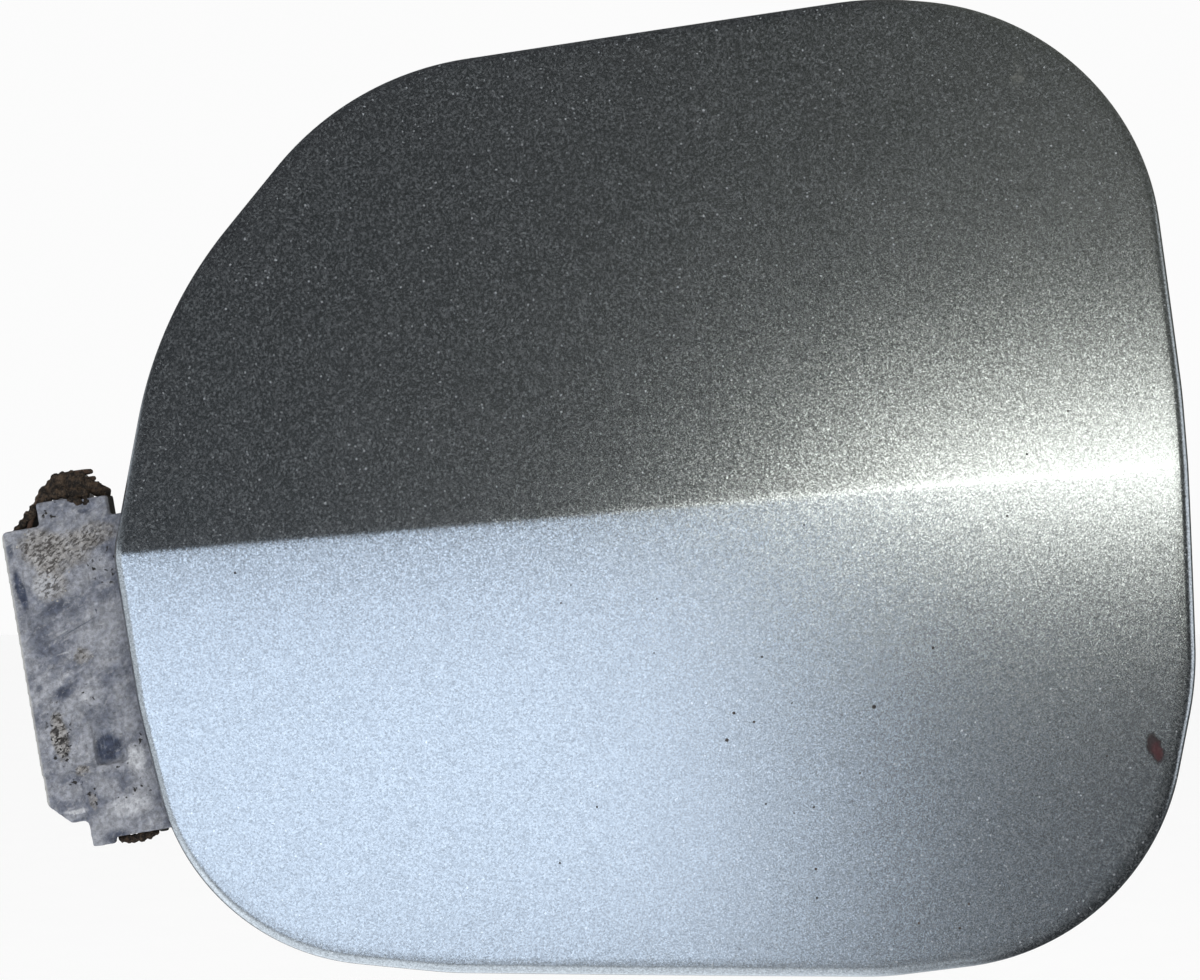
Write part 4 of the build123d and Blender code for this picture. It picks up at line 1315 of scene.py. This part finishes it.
class FUELDOOR_OT_latch(bpy.types.Operator):
    """Finish the latch striker and set the screws"""

    bl_idname = "fuel_door.latch"
    bl_label = "Striker and screws"

    def execute(self, context):
        colours = context.scene.fuel_door_finish
        zinc = zinc_plate("striker_zinc", colours)
        striker = eased_copy("latch_striker", "zinc_striker", zinc, STRIKER_EASE)
        settle(striker, "door", "striker_zinc", "latch_striker")

        boxes = islands("screws")
        places = [Vector(((low.x + high.x) / 2, low.y, (low.z + high.z) / 2)) for low, high in boxes]
        mesh = point_mesh("zinc_screws", places, [1.0] * len(places), [(0.0, 1.0, 0.0)] * len(places))
        piece = new_piece("zinc_screws", mesh, zinc_plate("screw_zinc", colours))
        low, high = boxes[0]
        screw = self.screw_mesh((high.y - low.y) / MM, (high.x - low.x) / 2 / MM)
        scattered(piece, dot_group(), bpy.data.objects.new("screw", screw), Seed=9)
        piece.data.set_sharp_from_angle(angle=math.radians(42))
        settle(piece, "door", "screw_zinc", "screws")
        return {"FINISHED"}

    def screw_mesh(self, length, radius):
        """A pan-headed screw with a cross recess, standing on its tip."""
        seat = length - SCREW_HEAD
        outside = [
            (0.9, 0.0), (1.5, 0.5), (SCREW_R, 1.2), (SCREW_R, seat), (radius - 0.15, seat),
            (radius, seat + 0.15), (radius, length - 0.9), (radius - 0.25, length - 0.4),
            (radius - 0.8, length - 0.08),
        ]
        angles = np.linspace(0, 2 * math.pi, SCREW_STEPS, endpoint=False)
        circle = np.stack([np.cos(angles), np.sin(angles), np.zeros(SCREW_STEPS)], axis=1)
        rings = [circle * r + (0, 0, height) for r, height in outside]
        for r in np.linspace(radius - 1.1, 0.1, RECESS_RINGS):
            across = np.abs(circle[:, :2] * r).min(axis=1)
            cut = np.clip((RECESS_HALF - across) / 0.12, 0, 1) * np.clip((RECESS_R - r) / 0.2, 0, 1)
            ring = circle * r
            ring[:, 2] = length - RECESS_DEPTH * cut
            rings.append(ring)
        end = (0, 0, (length - RECESS_DEPTH) * MM)
        return ringed_mesh("screw", np.array(rings) * MM, (0, 0, 0), end)


class FUELDOOR_OT_stops(bpy.types.Operator):
    """Make the rubber bump stops"""

    bl_idname = "fuel_door.stops"
    bl_label = "Bump stops"

    def execute(self, context):
        rubber = stop_rubber(context.scene.fuel_door_finish)
        for node in ("upper_bump_stop", "lower_bump_stop"):
            low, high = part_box(node)
            middle = (low + high) / 2
            radius = (high.x - low.x) / 2 / MM
            length = (high.y - low.y) / MM
            upright = Matrix.Rotation(-math.pi / 2, 4, "X") @ Matrix.Scale(MM, 4)
            place = Matrix.Translation((middle.x, low.y, middle.z)) @ upright
            head = length - STOP_HEAD
            profile = [
                (0, 0), (STOP_STEM_R - 0.4, 0), (STOP_STEM_R, 0.4), (STOP_STEM_R, head - 0.05),
                (radius - 0.3, head), (radius, head + 0.3),
            ]
            for a in np.linspace(0, math.pi / 2, ROLL_STEPS):
                inset = STOP_CROWN * (1 - math.cos(a))
                profile.append((radius - inset, length - STOP_CROWN * (1 - math.sin(a))))
            profile += [(2.2, length), (1.8, length - 0.25), (0, length - 0.3)]
            piece = new_piece("rubber_" + node, lathed("rubber_" + node, profile, place), rubber)
            piece.data.set_sharp_from_angle(angle=math.radians(50))
            settle(piece, "door", "stop_rubber", node)
        return {"FINISHED"}


class FUELDOOR_OT_stage(bpy.types.Operator):
    """Set the camera, the floor and the light"""

    bl_idname = "fuel_door.stage"
    bl_label = "Stage"

    def execute(self, context):
        stage = context.scene.fuel_door_stage
        context.scene.view_settings.view_transform = "Standard"
        self.camera(context, stage)
        self.floor(stage)
        self.world(context, stage)
        towards = PANEL_AT + Vector((VIEW_FROM[0], 0, VIEW_FROM[1])) * MM
        for name, (angles, size, tint) in LIGHTS.items():
            self.light(name, towards, angles, size, getattr(stage, name), tint)
        return {"FINISHED"}

    def camera(self, context, stage):
        data = bpy.data.cameras.new("camera")
        data.sensor_width = SENSOR
        data.lens = data.sensor_width * stage.camera_distance / (PIXEL * FRAME_SIZE[0] * MM)
        camera = bpy.data.objects.new("camera", data)
        context.scene.collection.objects.link(camera)
        plane = PANEL_AT + Vector((VIEW_FROM[0], VIEW_PLANE, VIEW_FROM[1])) * MM
        camera.location = plane - Vector((0, stage.camera_distance, 0))
        camera.rotation_euler = (math.pi / 2, 0, 0)
        context.scene.camera = camera

    def floor(self, stage):
        half = FLOOR_HALF
        level = CAD_BOX[0].z - stage.floor_drop
        mesh = bpy.data.meshes.new("floor")
        corners = [(-half, -half, level), (half, -half, level), (half, half, level), (-half, half, level)]
        mesh.from_pydata(corners, [], [(0, 1, 2, 3)])
        f = Finish("pale_floor")
        speck = f.noise(f.here(), 0.02, 3.0)
        f.set(Base_Color=f.mix(speck, *FLOOR_TONES), Roughness=0.9)
        floor = new_piece("floor", mesh, f.material)
        floor.visible_glossy = False

    def world(self, context, stage):
        world = bpy.data.worlds.new("room")
        context.scene.world = world
        world.use_nodes = True
        w = Tree(world.node_tree)
        w.tree.nodes.clear()
        path = w.add("ShaderNodeLightPath", output="Is Camera Ray").socket.node
        seen = Wire(w, path.outputs["Is Camera Ray"])
        mirrored = Wire(w, path.outputs["Is Glossy Ray"])
        fill = w.add("ShaderNodeBackground", {}, {"Color": WHITE, "Strength": stage.fill})
        aside, _, height = w.split(w.add("ShaderNodeTexCoord", output="Generated"))
        below = height.ramp(-0.42, -0.8) * aside.ramp(0.4, -0.1)
        left = aside.ramp(-0.5, -0.8) * height.ramp(0.3, 0.05)
        right = aside.ramp(0.9, 0.97)
        spill = aside.ramp(-0.04, 0.1) * aside.ramp(0.3, 0.14) * height.ramp(0.0, -0.1)
        above = aside.ramp(0.0, 0.25) * height.ramp(0.15, 0.3)
        glow = stage.room + GLOW_BELOW * below + GLOW_LEFT * left + GLOW_RIGHT * right
        glow = glow + GLOW_SPILL * spill + GLOW_ABOVE * above
        warm = aside.ramp(-0.2, 0.3) * height.ramp(-0.15, 0.12)
        tint = w.mix(right, w.mix(warm, ROOM_COOL, ROOM_WARM), ROOM_RIGHT)
        room = w.add("ShaderNodeBackground", {}, {"Color": tint, "Strength": glow})
        backdrop = w.add("ShaderNodeBackground", {}, {"Color": WHITE, "Strength": stage.backdrop})
        lit = w.add("ShaderNodeMixShader", {}, {0: mirrored, 1: fill, 2: room})
        shown = w.add("ShaderNodeMixShader", {}, {0: seen, 1: lit, 2: backdrop})
        w.add("ShaderNodeOutputWorld", {}, {"Surface": shown})

    def light(self, name, towards, angles, size, power, tint):
        """A soft light seen from the panel at angles to the right and up, in degrees."""
        right, up = (math.radians(a) for a in angles)
        away = Vector((math.sin(right) * math.cos(up), -math.cos(right) * math.cos(up), math.sin(up)))
        data = bpy.data.lights.new(name, "AREA")
        data.shape = "RECTANGLE"
        data.size, data.size_y = size
        data.energy = power
        data.color = tint
        light = bpy.data.objects.new(name, data)
        light.location = towards + away * LIGHT_DISTANCE
        light.rotation_euler = (-away).to_track_quat("-Z", "Y").to_euler()
        bpy.context.scene.collection.objects.link(light)


STEPS = (
    FUELDOOR_OT_panel,
    FUELDOOR_OT_specks,
    FUELDOOR_OT_arm,
    FUELDOOR_OT_mud,
    FUELDOOR_OT_spring,
    FUELDOOR_OT_dirt_and_shade,
    FUELDOOR_OT_pin,
    FUELDOOR_OT_mouldings,
    FUELDOOR_OT_latch,
    FUELDOOR_OT_stops,
    FUELDOOR_OT_stage,
)


class FUELDOOR_PT_sidebar(bpy.types.Panel):
    """Lists the steps and the settings of the fuel door"""

    bl_label = "Fuel door"
    bl_idname = "FUELDOOR_PT_sidebar"
    bl_space_type = "VIEW_3D"
    bl_region_type = "UI"
    bl_category = "Fuel door"

    def draw(self, context):
        for step in STEPS:
            self.layout.operator(step.bl_idname)
        scene = context.scene
        for group in (scene.fuel_door_panel, scene.fuel_door_finish, scene.fuel_door_stage):
            for name in group.__annotations__:
                self.layout.prop(group, name)


CLASSES = (PanelSettings, FinishSettings, StageSettings, *STEPS, FUELDOOR_PT_sidebar)


def register():
    for cls in CLASSES:
        bpy.utils.register_class(cls)
    bpy.types.Scene.fuel_door_panel = PointerProperty(type=PanelSettings)
    bpy.types.Scene.fuel_door_finish = PointerProperty(type=FinishSettings)
    bpy.types.Scene.fuel_door_stage = PointerProperty(type=StageSettings)


def unregister():
    del bpy.types.Scene.fuel_door_stage
    del bpy.types.Scene.fuel_door_finish
    del bpy.types.Scene.fuel_door_panel
    for cls in reversed(CLASSES):
        bpy.utils.unregister_class(cls)


def main():
    """Runs every step in order."""
    register()
    for step in STEPS:
        group, name = step.bl_idname.split(".")
        getattr(getattr(bpy.ops, group), name)()


if __name__ == "__main__":
    main()
